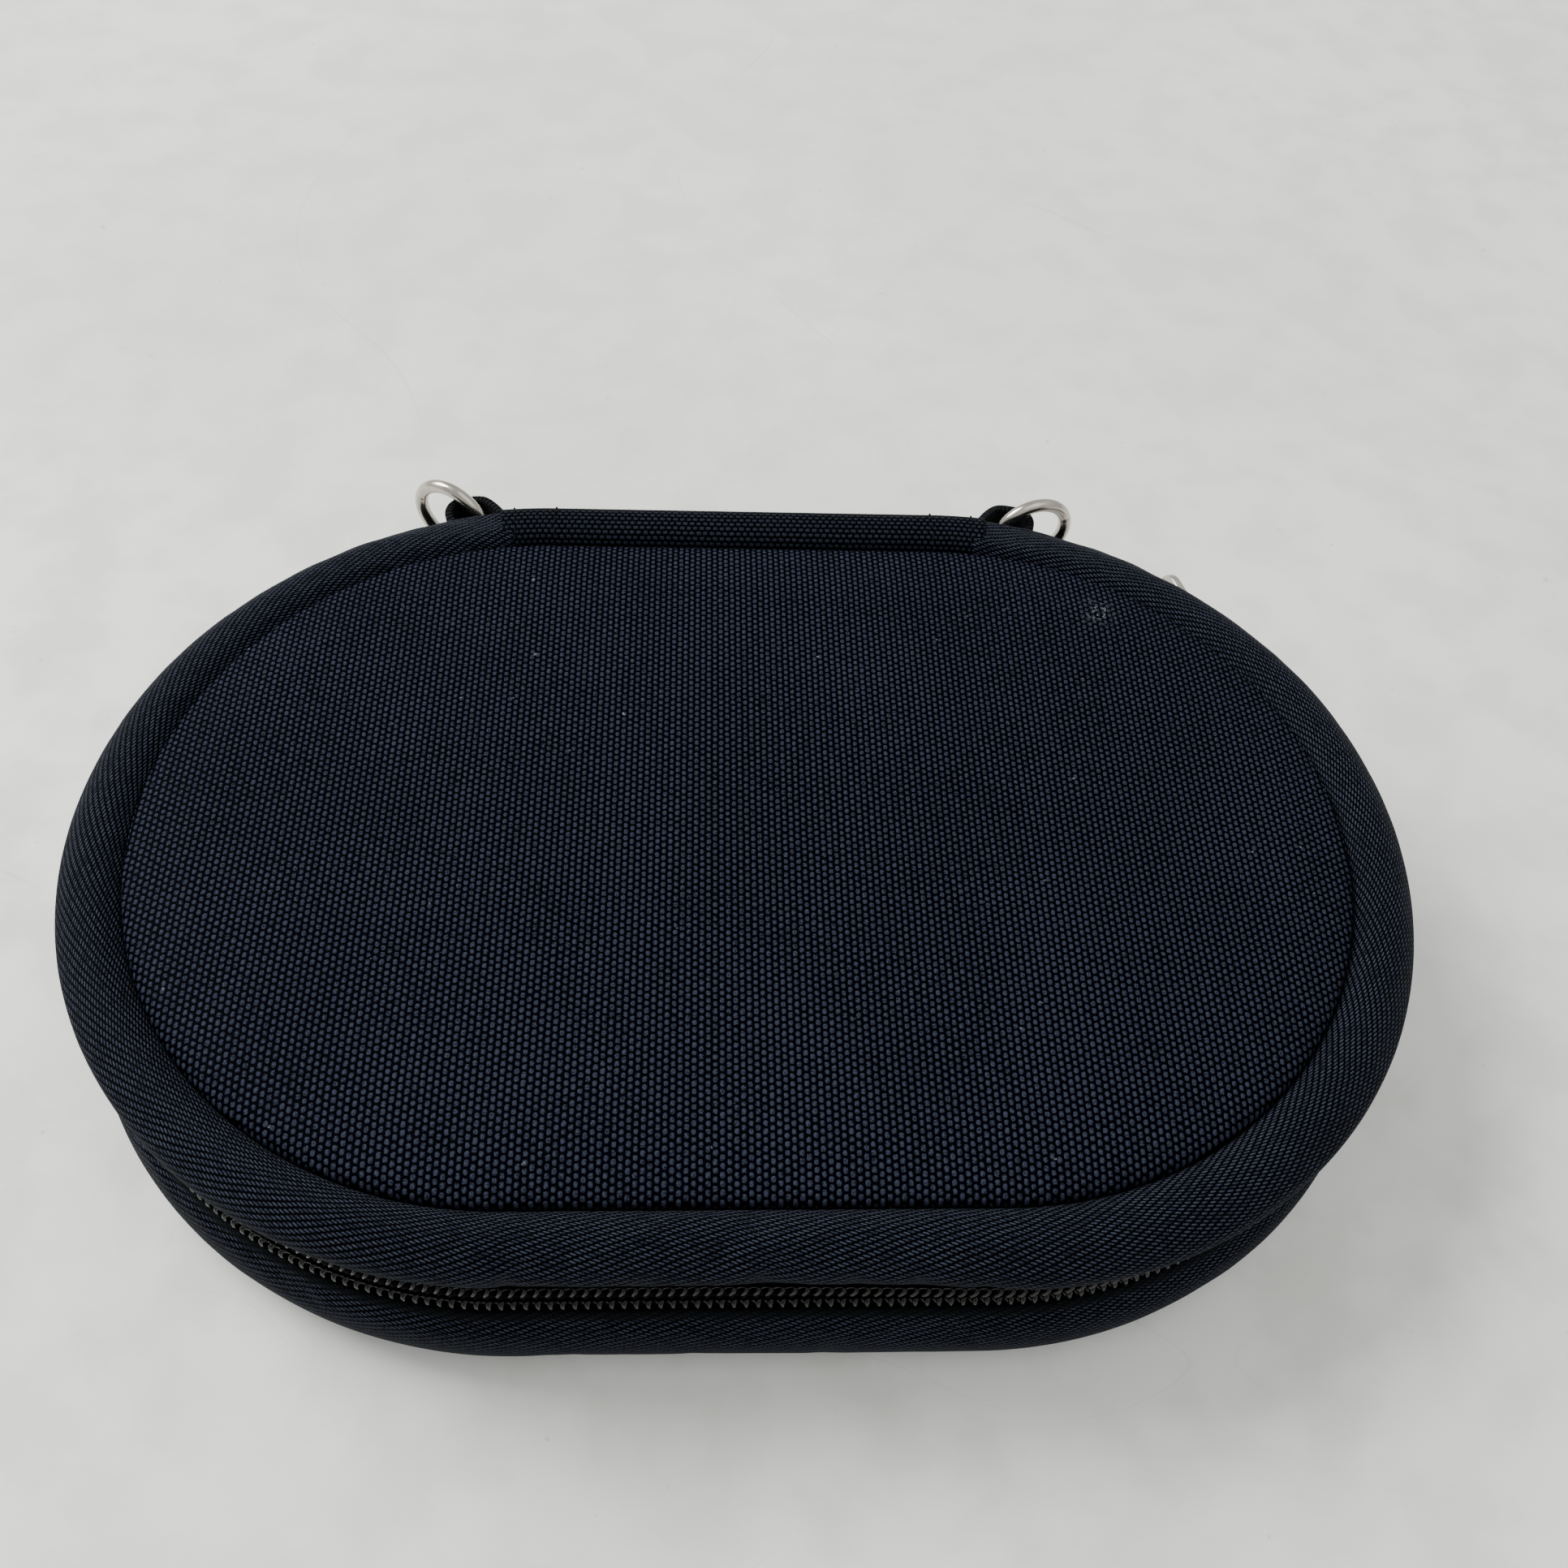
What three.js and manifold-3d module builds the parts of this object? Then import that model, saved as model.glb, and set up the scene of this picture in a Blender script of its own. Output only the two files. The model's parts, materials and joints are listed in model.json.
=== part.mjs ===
// Oval zip-up carrying case for headphones, lying closed on its base.
// Two padded halves meet at a coil zip that runs round the front and both ends, and a
// strip of the panel fabric hinges them at the back. Two wire rings hang in webbing loops.
//
// Frame: millimetres, +X along the case, +Y towards the hinge, +Z up. The origin is the
// middle of the flat base, on the surface that the case lies on.
import * as THREE from 'three';
import { mergeVertices } from 'three/addons/utils/BufferGeometryUtils.js';
import Module from 'manifold-3d';

// ---- Driving dimensions -------------------------------------------------------------

// Outside of the closed case.
const CASE_WIDTH = 190;
const CASE_DEPTH = 128;
const BASE_HEIGHT = 20;
const LID_HEIGHT = 16;

// Padded rim that runs round each half.
const RIM_WIDTH = 9.2;
const RIM_CROWN = 2.5;
const RIM_COVER = 1.4;
const WALL_FOAM = 3.9;
const FOLD_INSET = 1.8;
const ZIP_OPENING = 7.6;

// Layers of the flat panels, from the outside in.
const PANEL_SKIN = 1.0;
const PANEL_BOARD = 1.5;
const PANEL_FOAM = 3.0;
const LINING = 0.8;
const PANEL_DOME_WIDTH = 12;
const PANEL_DOME_DROP = 1.9;

// Zip: tape, coil, slider and pull tab.
const TAPE_THICKNESS = 0.6;
const COIL_WIDTH = 2.35;
const COIL_DEPTH = 1.3;
const SLIDER_LENGTH = 11;
const SLIDER_PLATE = 1.2;
const CROWN_HEIGHT = 2.5;
const PULL_LENGTH = 20;
const PULL_WIDTH = 7;
const PULL_THICKNESS = 1.4;
const SLIDER_ANGLE = 42;
const PULL_ANGLE = 25;

// Hinge strip, webbing loops and wire rings.
const HINGE_HALF_WIDTH = 38;
const LOOP_ROOT_GAP = 1.7;
const LOOP_LENGTH = 8.6;
const LOOP_WEBBING = 1.2;
const LOOP_WEBBING_WIDTH = 6.5;
const LOOP_HEIGHT = 24;
const RING_WIRE = 2.2;
const RING_RADIUS = 6.5;
const LEFT_RING_SWING = 30;
const RIGHT_RING_SWING = 17;

// Pocket in the lid.
const POCKET_FABRIC = 0.8;
const POCKET_DEPTH = 2.6;
const POCKET_MOUTH_Y = 6;
const ELASTIC_WIDTH = 6;

// Clearance between touching pieces, and how finely the round ends are cut.
const GAP = 0.3;
const END_STEPS = 14;

// ---- Sizes that follow from them ------------------------------------------------------

const END_RADIUS = CASE_DEPTH / 2;
const HALF_STRAIGHT = CASE_WIDTH / 2 - END_RADIUS;
const CASE_HEIGHT = BASE_HEIGHT + LID_HEIGHT;
const TAPE_INSET = FOLD_INSET + RIM_COVER + GAP;
const COIL_INSET = TAPE_INSET - GAP - COIL_DEPTH;
const LINING_INSET = RIM_COVER + GAP + WALL_FOAM + 2 * GAP;
const FLOOR_HEIGHT = PANEL_SKIN + PANEL_BOARD + PANEL_FOAM + 3 * GAP;

// ---- Materials ------------------------------------------------------------------------

const PANEL_FABRIC = fabric(0x1b2230);
const TWILL = fabric(0x16191f);
const LINING_FABRIC = fabric(0x0e0f11);
const BLACK_FOAM = fabric(0x202124);
const BOARD = new THREE.MeshStandardMaterial({ color: 0x2a2a2a, roughness: 0.7, metalness: 0 });
const TAPE = fabric(0x0b0b0d);
const NYLON = new THREE.MeshStandardMaterial({ color: 0x101012, roughness: 0.35, metalness: 0 });
const MESH_FABRIC = fabric(0x141518);
const NICKEL = new THREE.MeshStandardMaterial({ color: 0xc9c7c2, roughness: 0.18, metalness: 1 });
const WEBBING = fabric(0x0d0e11);

/** A dull woven material of one colour. */
function fabric(color) {
  return new THREE.MeshStandardMaterial({ color, roughness: 0.92, metalness: 0 });
}

/** Radians to degrees. */
function degrees(radians) {
  return THREE.MathUtils.radToDeg(radians);
}

/** Degrees to radians. */
function radians(angle) {
  return THREE.MathUtils.degToRad(angle);
}

// ---- Sweeps round the oval --------------------------------------------------------------
// A section is a list of [inset, height]: inset is measured in from the widest line of the
// case, so a section keeps its shape all round the oval.

/** One station on a round end, on the flat facet that the angle falls in. */
function endStation(centreX, angle) {
  const step = 180 / END_STEPS;
  const half = step / 2;
  const along = (((angle + 90) % step) + step) % step;
  const reach = Math.cos(radians(half)) / Math.cos(radians(along - half));
  const turn = radians(angle);
  return { centreX, nx: Math.cos(turn) * reach, ny: Math.sin(turn) * reach };
}

/** Stations on one round end: its two limits, and every facet corner between them. */
function endStations(centreX, fromAngle, toAngle) {
  const step = 180 / END_STEPS;
  const stations = [endStation(centreX, fromAngle)];
  const first = Math.floor((fromAngle + 90) / step + 1.01);
  for (let i = first; i * step - 90 < toAngle - 0.01 * step; i += 1) {
    stations.push(endStation(centreX, i * step - 90));
  }
  stations.push(endStation(centreX, toAngle));
  return stations;
}

/** All the way round. */
function fullPath() {
  return [...endStations(HALF_STRAIGHT, -90, 90), ...endStations(-HALF_STRAIGHT, 90, 270)];
}

/** How far round the end, past the straight of the back, a distance along the case reaches. */
function angleAtBack(x) {
  return degrees(Math.asin(Math.max(0, x - HALF_STRAIGHT) / END_RADIUS));
}

/** From one end of the hinge strip, round the front, to its other end. */
function zipPath() {
  const cut = angleAtBack(HINGE_HALF_WIDTH);
  const path = [
    ...endStations(-HALF_STRAIGHT, 90 + cut, 270),
    ...endStations(HALF_STRAIGHT, -90, 90 - cut),
  ];
  if (cut > 0) {
    return path;
  }
  const start = { centreX: -HINGE_HALF_WIDTH, nx: 0, ny: 1 };
  return [start, ...path, { ...start, centreX: HINGE_HALF_WIDTH }];
}

/** Across the back, between the two ends of the rim. */
function hingePath() {
  const reach = HINGE_HALF_WIDTH - GAP;
  const cut = angleAtBack(reach);
  if (cut > 0) {
    return [
      ...endStations(HALF_STRAIGHT, 90 - cut, 90),
      ...endStations(-HALF_STRAIGHT, 90, 90 + cut),
    ];
  }
  return [
    { centreX: reach, nx: 0, ny: 1 },
    { centreX: -reach, nx: 0, ny: 1 },
  ];
}

/** Where a section's point lies at a station. */
function place(station, [inset, height]) {
  const reach = END_RADIUS - inset;
  return [station.centreX + station.nx * reach, station.ny * reach, height];
}

/** A closed body from corner points and triangles, with its faces turned outwards. */
function bodyFrom(points, triangles) {
  let volume = 0;
  const a = new THREE.Vector3();
  const b = new THREE.Vector3();
  const c = new THREE.Vector3();
  for (const [i, j, k] of triangles) {
    a.fromArray(points[i]);
    b.fromArray(points[j]);
    c.fromArray(points[k]);
    volume += a.dot(b.cross(c));
  }
  const turned = volume < 0 ? triangles.map(([i, j, k]) => [i, k, j]) : triangles;
  const geometry = new THREE.BufferGeometry();
  geometry.setAttribute('position', new THREE.Float32BufferAttribute(points.flat(), 3));
  geometry.setIndex(turned.flat());
  geometry.computeVertexNormals();
  return geometry;
}

/** Triangles that fill a section, turned the way that the section's own corners run. */
function capTriangles(section) {
  const outline = section.map(([inset, height]) => new THREE.Vector2(inset, height));
  const sense = THREE.ShapeUtils.area(outline);
  return THREE.ShapeUtils.triangulateShape(outline, []).map(([i, j, k]) => {
    const same = THREE.ShapeUtils.area([outline[i], outline[j], outline[k]]) * sense > 0;
    return same ? [i, j, k] : [i, k, j];
  });
}

/** Sweep a closed section along a path; the path closes on itself, or its ends are capped. */
function sweepSection(section, path, closed) {
  const points = path.flatMap((station) => section.map((corner) => place(station, corner)));
  const corners = section.length;
  const triangles = [];
  const spans = closed ? path.length : path.length - 1;
  for (let i = 0; i < spans; i += 1) {
    const here = i * corners;
    const next = ((i + 1) % path.length) * corners;
    for (let j = 0; j < corners; j += 1) {
      const k = (j + 1) % corners;
      triangles.push([here + j, next + j, next + k], [here + j, next + k, here + k]);
    }
  }
  if (!closed) {
    const last = (path.length - 1) * corners;
    for (const [i, j, k] of capTriangles(section)) {
      triangles.push([i, j, k], [last + i, last + k, last + j]);
    }
  }
  return bodyFrom(points, triangles);
}

/** Sweep an open section round the oval and close its two ends with flat oval faces. */
function sweepDish(section) {
  const path = fullPath();
  const points = path.flatMap((station) => section.map((corner) => place(station, corner)));
  const corners = section.length;
  const triangles = [];
  for (let i = 0; i < path.length; i += 1) {
    const here = i * corners;
    const next = ((i + 1) % path.length) * corners;
    for (let j = 0; j < corners - 1; j += 1) {
      triangles.push([here + j, next + j, next + j + 1], [here + j, next + j + 1, here + j + 1]);
    }
  }
  for (let i = 1; i < path.length - 1; i += 1) {
    const here = i * corners;
    triangles.push([0, here + corners, here]);
    triangles.push([corners - 1, here + corners - 1, here + 2 * corners - 1]);
  }
  return bodyFrom(points, triangles);
}

/** Move an open line of points sideways, to its left, by a distance. */
function offsetLine(line, distance) {
  return line.map(([inset, height], i) => {
    const [x0, z0] = line[Math.max(0, i - 1)];
    const [x1, z1] = line[Math.min(line.length - 1, i + 1)];
    const length = Math.hypot(x1 - x0, z1 - z0);
    return [inset + (distance * (z1 - z0)) / length, height - (distance * (x1 - x0)) / length];
  });
}

/** The same section in the lid, upside down. */
function mirrored(section) {
  return section.map(([inset, height]) => [inset, CASE_HEIGHT - height]);
}

// ---- Sections of one half ------------------------------------------------------------------
// Each is drawn for the base, upwards from the surface it lies on. Reach is how high the half
// stands, from there to the split.

/** Height of the rim's folded edge. */
function foldHeight(reach) {
  return reach - ZIP_OPENING / 2;
}

/** Height of the widest line of the rim. */
function bulgeHeight(reach) {
  return foldHeight(reach) * 0.58;
}

/** Outside of the padded rim, from the sewn groove, over the crown, to the folded edge. */
function rimOutside(reach) {
  const fold = foldHeight(reach);
  const bulge = bulgeHeight(reach);
  return [
    [RIM_WIDTH, GAP + RIM_CROWN],
    [RIM_WIDTH * 0.74, GAP + RIM_CROWN * 0.25],
    [RIM_WIDTH * 0.5, GAP],
    [RIM_WIDTH * 0.23, GAP + RIM_CROWN * 0.7],
    [RIM_WIDTH * 0.06, bulge * 0.58],
    [0, bulge],
    [FOLD_INSET * 0.3, bulge + (fold - bulge) * 0.55],
    [FOLD_INSET, fold],
  ];
}

/** Twill cover of the rim. */
function rimSection(reach) {
  const outside = rimOutside(reach);
  return [...outside, ...offsetLine(outside, RIM_COVER).reverse()];
}

/** Hinge strip: like the rim's cover, but it runs straight on to the line of the hinge. */
function hingeSection(reach) {
  const outside = rimOutside(reach).filter(([, height]) => height <= bulgeHeight(reach));
  outside.push([0, reach - GAP / 2]);
  return [...outside, ...offsetLine(outside, RIM_COVER).reverse()];
}

/** Foam strip that stands inside the rim. */
function wallFoamSection(reach) {
  const fold = foldHeight(reach);
  const bulge = bulgeHeight(reach);
  const low = fold * 0.25;
  const outer = RIM_COVER + GAP;
  const inner = outer + WALL_FOAM + GAP;
  const top = fold - RIM_COVER * 0.3;
  return [
    [outer + FOLD_INSET, low],
    [outer + FOLD_INSET * 0.3, bulge * 0.72],
    [outer + FOLD_INSET * 0.25, bulge * 1.1],
    [outer + FOLD_INSET + GAP, top],
    [inner, top],
    [inner, low],
  ];
}

/** Outer panel: flat in the middle, and curved up to the sewn groove at its edge. */
function panelSection() {
  const edge = RIM_WIDTH + GAP;
  const flat = edge + PANEL_DOME_WIDTH;
  return [
    [flat, 0],
    [edge + PANEL_DOME_WIDTH * 0.5, PANEL_DOME_DROP * 0.22],
    [edge + PANEL_DOME_WIDTH * 0.15, PANEL_DOME_DROP * 0.68],
    [edge, PANEL_DOME_DROP],
    [edge, PANEL_DOME_DROP + PANEL_SKIN],
    [edge + PANEL_DOME_WIDTH * 0.15, PANEL_DOME_DROP * 0.68 + PANEL_SKIN],
    [edge + PANEL_DOME_WIDTH * 0.5, PANEL_DOME_DROP * 0.22 + PANEL_SKIN],
    [flat, PANEL_SKIN],
  ];
}

/** A flat oval layer between two heights. */
function layerSection(inset, low, high) {
  return [
    [inset + 1, low],
    [inset, low],
    [inset, high],
    [inset + 1, high],
  ];
}

/** Lining: a floor with a round corner and a wall that ends under the binding. */
function liningSection(reach) {
  const inset = LINING_INSET;
  const low = FLOOR_HEIGHT + GAP;
  const top = foldHeight(reach) - GAP;
  const corner = 2.2;
  return [
    [inset + corner * 2, low],
    [inset + corner, low],
    [inset + corner * 0.3, low + corner * 0.3],
    [inset, low + corner],
    [inset, top],
    [inset + LINING, top],
    [inset + LINING, low + corner + LINING * 0.4],
    [inset + LINING + corner * 0.3, low + LINING + corner * 0.25],
    [inset + corner + LINING * 0.6, low + LINING],
    [inset + corner * 2, low + LINING],
  ];
}

/** Binding tape folded over the raw edge where the lining meets the zip tape. */
function bindingSection(reach) {
  const outer = TAPE_INSET + TAPE_THICKNESS + GAP;
  const inner = LINING_INSET + LINING + GAP;
  const low = foldHeight(reach);
  const high = reach - 1.6;
  const round = 0.5;
  return [
    [outer, low],
    [outer, high - round],
    [outer + round, high],
    [inner - round, high],
    [inner, high - round],
    [inner, low],
  ];
}

/** Zip tape. */
function tapeSection(reach) {
  const low = foldHeight(reach);
  const high = reach - GAP / 2;
  return [
    [TAPE_INSET, low],
    [TAPE_INSET, high],
    [TAPE_INSET + TAPE_THICKNESS, high],
    [TAPE_INSET + TAPE_THICKNESS, low],
  ];
}

/** Envelope of one half of the zip's coil. */
function coilSection(reach) {
  const high = reach - GAP / 2;
  const low = high - COIL_WIDTH;
  return [
    [COIL_INSET + 0.3, low],
    [COIL_INSET, low + 0.4],
    [COIL_INSET, high - 0.2],
    [COIL_INSET + 0.2, high],
    [COIL_INSET + COIL_DEPTH, high],
    [COIL_INSET + COIL_DEPTH, low],
  ];
}

// ---- Solids cut and joined ----------------------------------------------------------------

const wasm = await Module();
wasm.setup();

/** A closed three.js geometry as a solid that can be cut and joined. */
function solid(geometry) {
  const bare = geometry.clone();
  bare.deleteAttribute('normal');
  bare.deleteAttribute('uv');
  const merged = mergeVertices(bare, 1e-4);
  const vertProperties = new Float32Array(merged.attributes.position.array);
  const triVerts = new Uint32Array(merged.index.array);
  return new wasm.Manifold(new wasm.Mesh({ numProp: 3, vertProperties, triVerts }));
}

/** A cut or joined solid as a three.js geometry. */
function geometryOf(body) {
  const { vertProperties, triVerts } = body.getMesh();
  const geometry = new THREE.BufferGeometry();
  geometry.setAttribute('position', new THREE.BufferAttribute(new Float32Array(vertProperties), 3));
  geometry.setIndex(new THREE.BufferAttribute(new Uint32Array(triVerts), 1));
  geometry.computeVertexNormals();
  return geometry;
}

/** A box given by its low and high corners. */
function boxBetween([x0, y0, z0], [x1, y1, z1]) {
  const geometry = new THREE.BoxGeometry(x1 - x0, y1 - y0, z1 - z0);
  return geometry.translate((x0 + x1) / 2, (y0 + y1) / 2, (z0 + z1) / 2);
}

// ---- Zip slider ---------------------------------------------------------------------------
// Its own frame: X points out of the case, Y along the zip towards the hinge, Z up, and the
// origin is on the coil's middle line at the widest line of the case.

const PLATE_OUT = -(COIL_INSET - GAP - SLIDER_PLATE);
const SLIDER_HALF_HEIGHT = ZIP_OPENING / 2 - GAP;
const CROWN_BAR = 1.0;
const CROWN_LEG = 1.0;
const CROWN_HALF_WIDTH = 1.1;
const CROWN_HALF_LENGTH = SLIDER_LENGTH * 0.4;
const PIVOT_OUT = PLATE_OUT + CROWN_HEIGHT / 2;

/** Slider plate: wide where the two coils enter side by side, narrow at its tail. */
function sliderPlate() {
  const half = SLIDER_LENGTH / 2;
  const tail = SLIDER_HALF_HEIGHT * 0.72;
  const outline = new THREE.Shape();
  outline.moveTo(-half, -tail);
  outline.lineTo(half * 0.2, -SLIDER_HALF_HEIGHT);
  outline.lineTo(half * 0.8, -SLIDER_HALF_HEIGHT);
  outline.quadraticCurveTo(half, -SLIDER_HALF_HEIGHT, half, -SLIDER_HALF_HEIGHT * 0.6);
  outline.lineTo(half, SLIDER_HALF_HEIGHT * 0.6);
  outline.quadraticCurveTo(half, SLIDER_HALF_HEIGHT, half * 0.8, SLIDER_HALF_HEIGHT);
  outline.lineTo(half * 0.2, SLIDER_HALF_HEIGHT);
  outline.lineTo(-half, tail);
  outline.closePath();
  const geometry = new THREE.ExtrudeGeometry(outline, {
    depth: SLIDER_PLATE,
    bevelEnabled: false,
    curveSegments: 4,
  });
  const turn = new THREE.Matrix4().makeBasis(
    new THREE.Vector3(0, 1, 0),
    new THREE.Vector3(0, 0, 1),
    new THREE.Vector3(1, 0, 0),
  );
  return geometry.applyMatrix4(turn).translate(PLATE_OUT - SLIDER_PLATE, 0, 0);
}

/** Slider: plate over the coil, a lip under the coil, and the crown that holds the tab. */
function sliderGeometry() {
  const back = PLATE_OUT - SLIDER_PLATE;
  const lipTop = -(GAP / 2 + COIL_WIDTH + GAP);
  const lip = boxBetween(
    [back - COIL_DEPTH * 0.8, -SLIDER_LENGTH * 0.1, -SLIDER_HALF_HEIGHT],
    [PLATE_OUT - GAP, SLIDER_LENGTH * 0.4, lipTop],
  );
  const barOut = PLATE_OUT + CROWN_HEIGHT;
  const bar = boxBetween(
    [barOut, -CROWN_HALF_LENGTH, -CROWN_HALF_WIDTH],
    [barOut + CROWN_BAR, CROWN_HALF_LENGTH, CROWN_HALF_WIDTH],
  );
  let body = solid(sliderPlate()).add(solid(lip)).add(solid(bar));
  for (const side of [-1, 1]) {
    const near = side * (CROWN_HALF_LENGTH - CROWN_LEG);
    const far = side * CROWN_HALF_LENGTH;
    const leg = boxBetween(
      [back + SLIDER_PLATE / 2, Math.min(near, far), -CROWN_HALF_WIDTH],
      [barOut + CROWN_BAR / 2, Math.max(near, far), CROWN_HALF_WIDTH],
    );
    body = body.add(solid(leg));
  }
  return geometryOf(body);
}

/** Pull tab, with the window whose near bar turns under the crown. */
function pullGeometry() {
  const bar = PULL_THICKNESS / 2;
  const eyeHalf = CROWN_HALF_WIDTH + 0.4 + bar * 1.5;
  const windowEnd = CROWN_HALF_LENGTH + 1.6;
  const end = PULL_LENGTH;
  const half = PULL_WIDTH / 2;
  const outline = new THREE.Shape();
  outline.moveTo(-bar, -eyeHalf);
  outline.lineTo(windowEnd, -eyeHalf);
  outline.lineTo(windowEnd + 2, -half);
  outline.lineTo(end - half, -half);
  outline.absarc(end - half, 0, half, -Math.PI / 2, Math.PI / 2, false);
  outline.lineTo(windowEnd + 2, half);
  outline.lineTo(windowEnd, eyeHalf);
  outline.lineTo(-bar, eyeHalf);
  outline.closePath();
  const eye = new THREE.Path();
  eye.moveTo(bar, -CROWN_HALF_WIDTH - 0.4);
  eye.lineTo(bar, CROWN_HALF_WIDTH + 0.4);
  eye.lineTo(windowEnd, CROWN_HALF_WIDTH + 0.4);
  eye.lineTo(windowEnd, -CROWN_HALF_WIDTH - 0.4);
  eye.closePath();
  outline.holes.push(eye);
  const geometry = new THREE.ExtrudeGeometry(outline, {
    depth: PULL_THICKNESS,
    bevelEnabled: false,
    curveSegments: 8,
  });
  const turn = new THREE.Matrix4().makeBasis(
    new THREE.Vector3(0, 1, 0),
    new THREE.Vector3(0, 0, 1),
    new THREE.Vector3(1, 0, 0),
  );
  return geometry.translate(0, 0, -PULL_THICKNESS / 2).applyMatrix4(turn);
}

// ---- Webbing loops and rings ----------------------------------------------------------------
// A loop's own frame: X runs along the wall away from the hinge, Y out of the case, Z up, and
// the origin is on the widest line of the case, at the loop's sewn root.

const LOOP_WINDOW = RING_WIRE + 1.4;
const LOOP_OUT = 0.4 + 2 * LOOP_WEBBING + LOOP_WINDOW;
const LEG_ALONG = 1.5 + RING_WIRE / 2 + 0.6;
const LEG_OUT = 0.4 + LOOP_WEBBING + RING_WIRE / 2 + 0.2;

/** Webbing folded into a loop, with its eye open upwards. */
function loopGeometry() {
  const low = 0.4;
  const high = LOOP_OUT;
  const radius = (high - low) / 2;
  const middle = (high + low) / 2;
  const straight = LOOP_LENGTH - radius;
  const outline = new THREE.Shape();
  outline.moveTo(0, low);
  outline.lineTo(straight, low);
  outline.absarc(straight, middle, radius, -Math.PI / 2, Math.PI / 2, false);
  outline.lineTo(1.4, high);
  outline.lineTo(0, low + LOOP_WEBBING * 2);
  outline.closePath();
  const inner = radius - LOOP_WEBBING;
  const eye = new THREE.Path();
  eye.moveTo(1.5, middle - inner);
  eye.lineTo(straight, middle - inner);
  eye.absarc(straight, middle, inner, -Math.PI / 2, Math.PI / 2, false);
  eye.lineTo(2.1, middle + inner);
  eye.closePath();
  outline.holes.push(eye);
  const geometry = new THREE.ExtrudeGeometry(outline, {
    depth: LOOP_WEBBING_WIDTH,
    bevelEnabled: false,
    curveSegments: 6,
  });
  return geometry.translate(0, 0, -LOOP_WEBBING_WIDTH / 2);
}

/** A loop or a ring is placed from the point where the loop is sewn on. */
function loopRoot() {
  const x = HINGE_HALF_WIDTH + LOOP_ROOT_GAP;
  const angle = radians(angleAtBack(x));
  return { angle, x, y: END_RADIUS * Math.cos(angle) };
}

/** The right-hand loop in the case's frame; the left-hand one is its mirror image. */
function rightLoopGeometry() {
  const root = loopRoot();
  return loopGeometry().rotateZ(-root.angle).translate(root.x, root.y, LOOP_HEIGHT);
}

/** Where a ring's upright leg stands in its loop, on the right-hand side. */
function ringLeg() {
  const root = loopRoot();
  const leg = new THREE.Vector3(LEG_ALONG, LEG_OUT, 0);
  leg.applyAxisAngle(new THREE.Vector3(0, 0, 1), -root.angle);
  return leg.add(new THREE.Vector3(root.x, root.y, LOOP_HEIGHT));
}

/** A wire ring with its leg at the origin, standing upright and reaching along +X. */
function ringGeometry() {
  const geometry = new THREE.TorusGeometry(RING_RADIUS, RING_WIRE / 2, 10, 28);
  return geometry.rotateX(Math.PI / 2).translate(RING_RADIUS, 0, 0);
}

/** Mirror a geometry in the plane X = 0 and turn its faces out again. */
function mirrorX(geometry) {
  const copy = geometry.clone().scale(-1, 1, 1);
  const count = copy.attributes.position.count;
  const index = copy.index ? Array.from(copy.index.array) : Array.from({ length: count }, (_, i) => i);
  for (let i = 0; i < index.length; i += 3) {
    const swap = index[i + 1];
    index[i + 1] = index[i + 2];
    index[i + 2] = swap;
  }
  copy.setIndex(index);
  copy.computeVertexNormals();
  return copy;
}

// ---- Lid pocket -----------------------------------------------------------------------------

/** Half of an oval: what lies in front of the pocket's mouth. */
function frontCut(body, mouthY) {
  const reach = CASE_WIDTH;
  const keep = boxBetween([-reach, -reach, -reach], [reach, mouthY, reach]);
  return body.intersect(solid(keep));
}

/** Pocket: a sheet that bellies away from the lid's lining and is sewn down round its edge. */
function pocketGeometry() {
  const inset = LINING_INSET + LINING + 2.4;
  const ceiling = FLOOR_HEIGHT + GAP + LINING + GAP;
  const section = [
    [inset + 10, ceiling + POCKET_DEPTH - POCKET_FABRIC],
    [inset + 5, ceiling + POCKET_DEPTH * 0.6],
    [inset + 1.2, ceiling],
    [inset, ceiling],
    [inset, ceiling + POCKET_FABRIC],
    [inset + 4, ceiling + POCKET_DEPTH * 0.6 + POCKET_FABRIC],
    [inset + 10, ceiling + POCKET_DEPTH],
  ];
  return geometryOf(frontCut(solid(sweepDish(mirrored(section))), POCKET_MOUTH_Y));
}

/** Elastic band folded over the pocket's mouth. */
function elasticGeometry() {
  const inset = LINING_INSET + LINING + 2.4;
  const low = FLOOR_HEIGHT + GAP + LINING + 2 * GAP;
  const high = low + POCKET_DEPTH;
  const front = POCKET_MOUTH_Y + GAP;
  const reach = HALF_STRAIGHT + Math.sqrt((END_RADIUS - inset) ** 2 - (front + ELASTIC_WIDTH) ** 2);
  const slope = POCKET_DEPTH * 2;
  const outline = new THREE.Shape();
  outline.moveTo(-reach, CASE_HEIGHT - low);
  outline.lineTo(-reach + slope, CASE_HEIGHT - high);
  outline.lineTo(reach - slope, CASE_HEIGHT - high);
  outline.lineTo(reach, CASE_HEIGHT - low);
  outline.lineTo(reach - 2, CASE_HEIGHT - low);
  outline.lineTo(reach - slope - 0.6, CASE_HEIGHT - high + 1.4);
  outline.lineTo(-reach + slope + 0.6, CASE_HEIGHT - high + 1.4);
  outline.lineTo(-reach + 2, CASE_HEIGHT - low);
  outline.closePath();
  const geometry = new THREE.ExtrudeGeometry(outline, { depth: ELASTIC_WIDTH, bevelEnabled: false });
  return geometry.rotateX(Math.PI / 2).translate(0, front + ELASTIC_WIDTH, 0);
}

// ---- Assembly ---------------------------------------------------------------------------------

/** One sub-part: a named mesh. */
function piece(name, geometry, material) {
  const mesh = new THREE.Mesh(geometry, material);
  mesh.name = name;
  return mesh;
}

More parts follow.
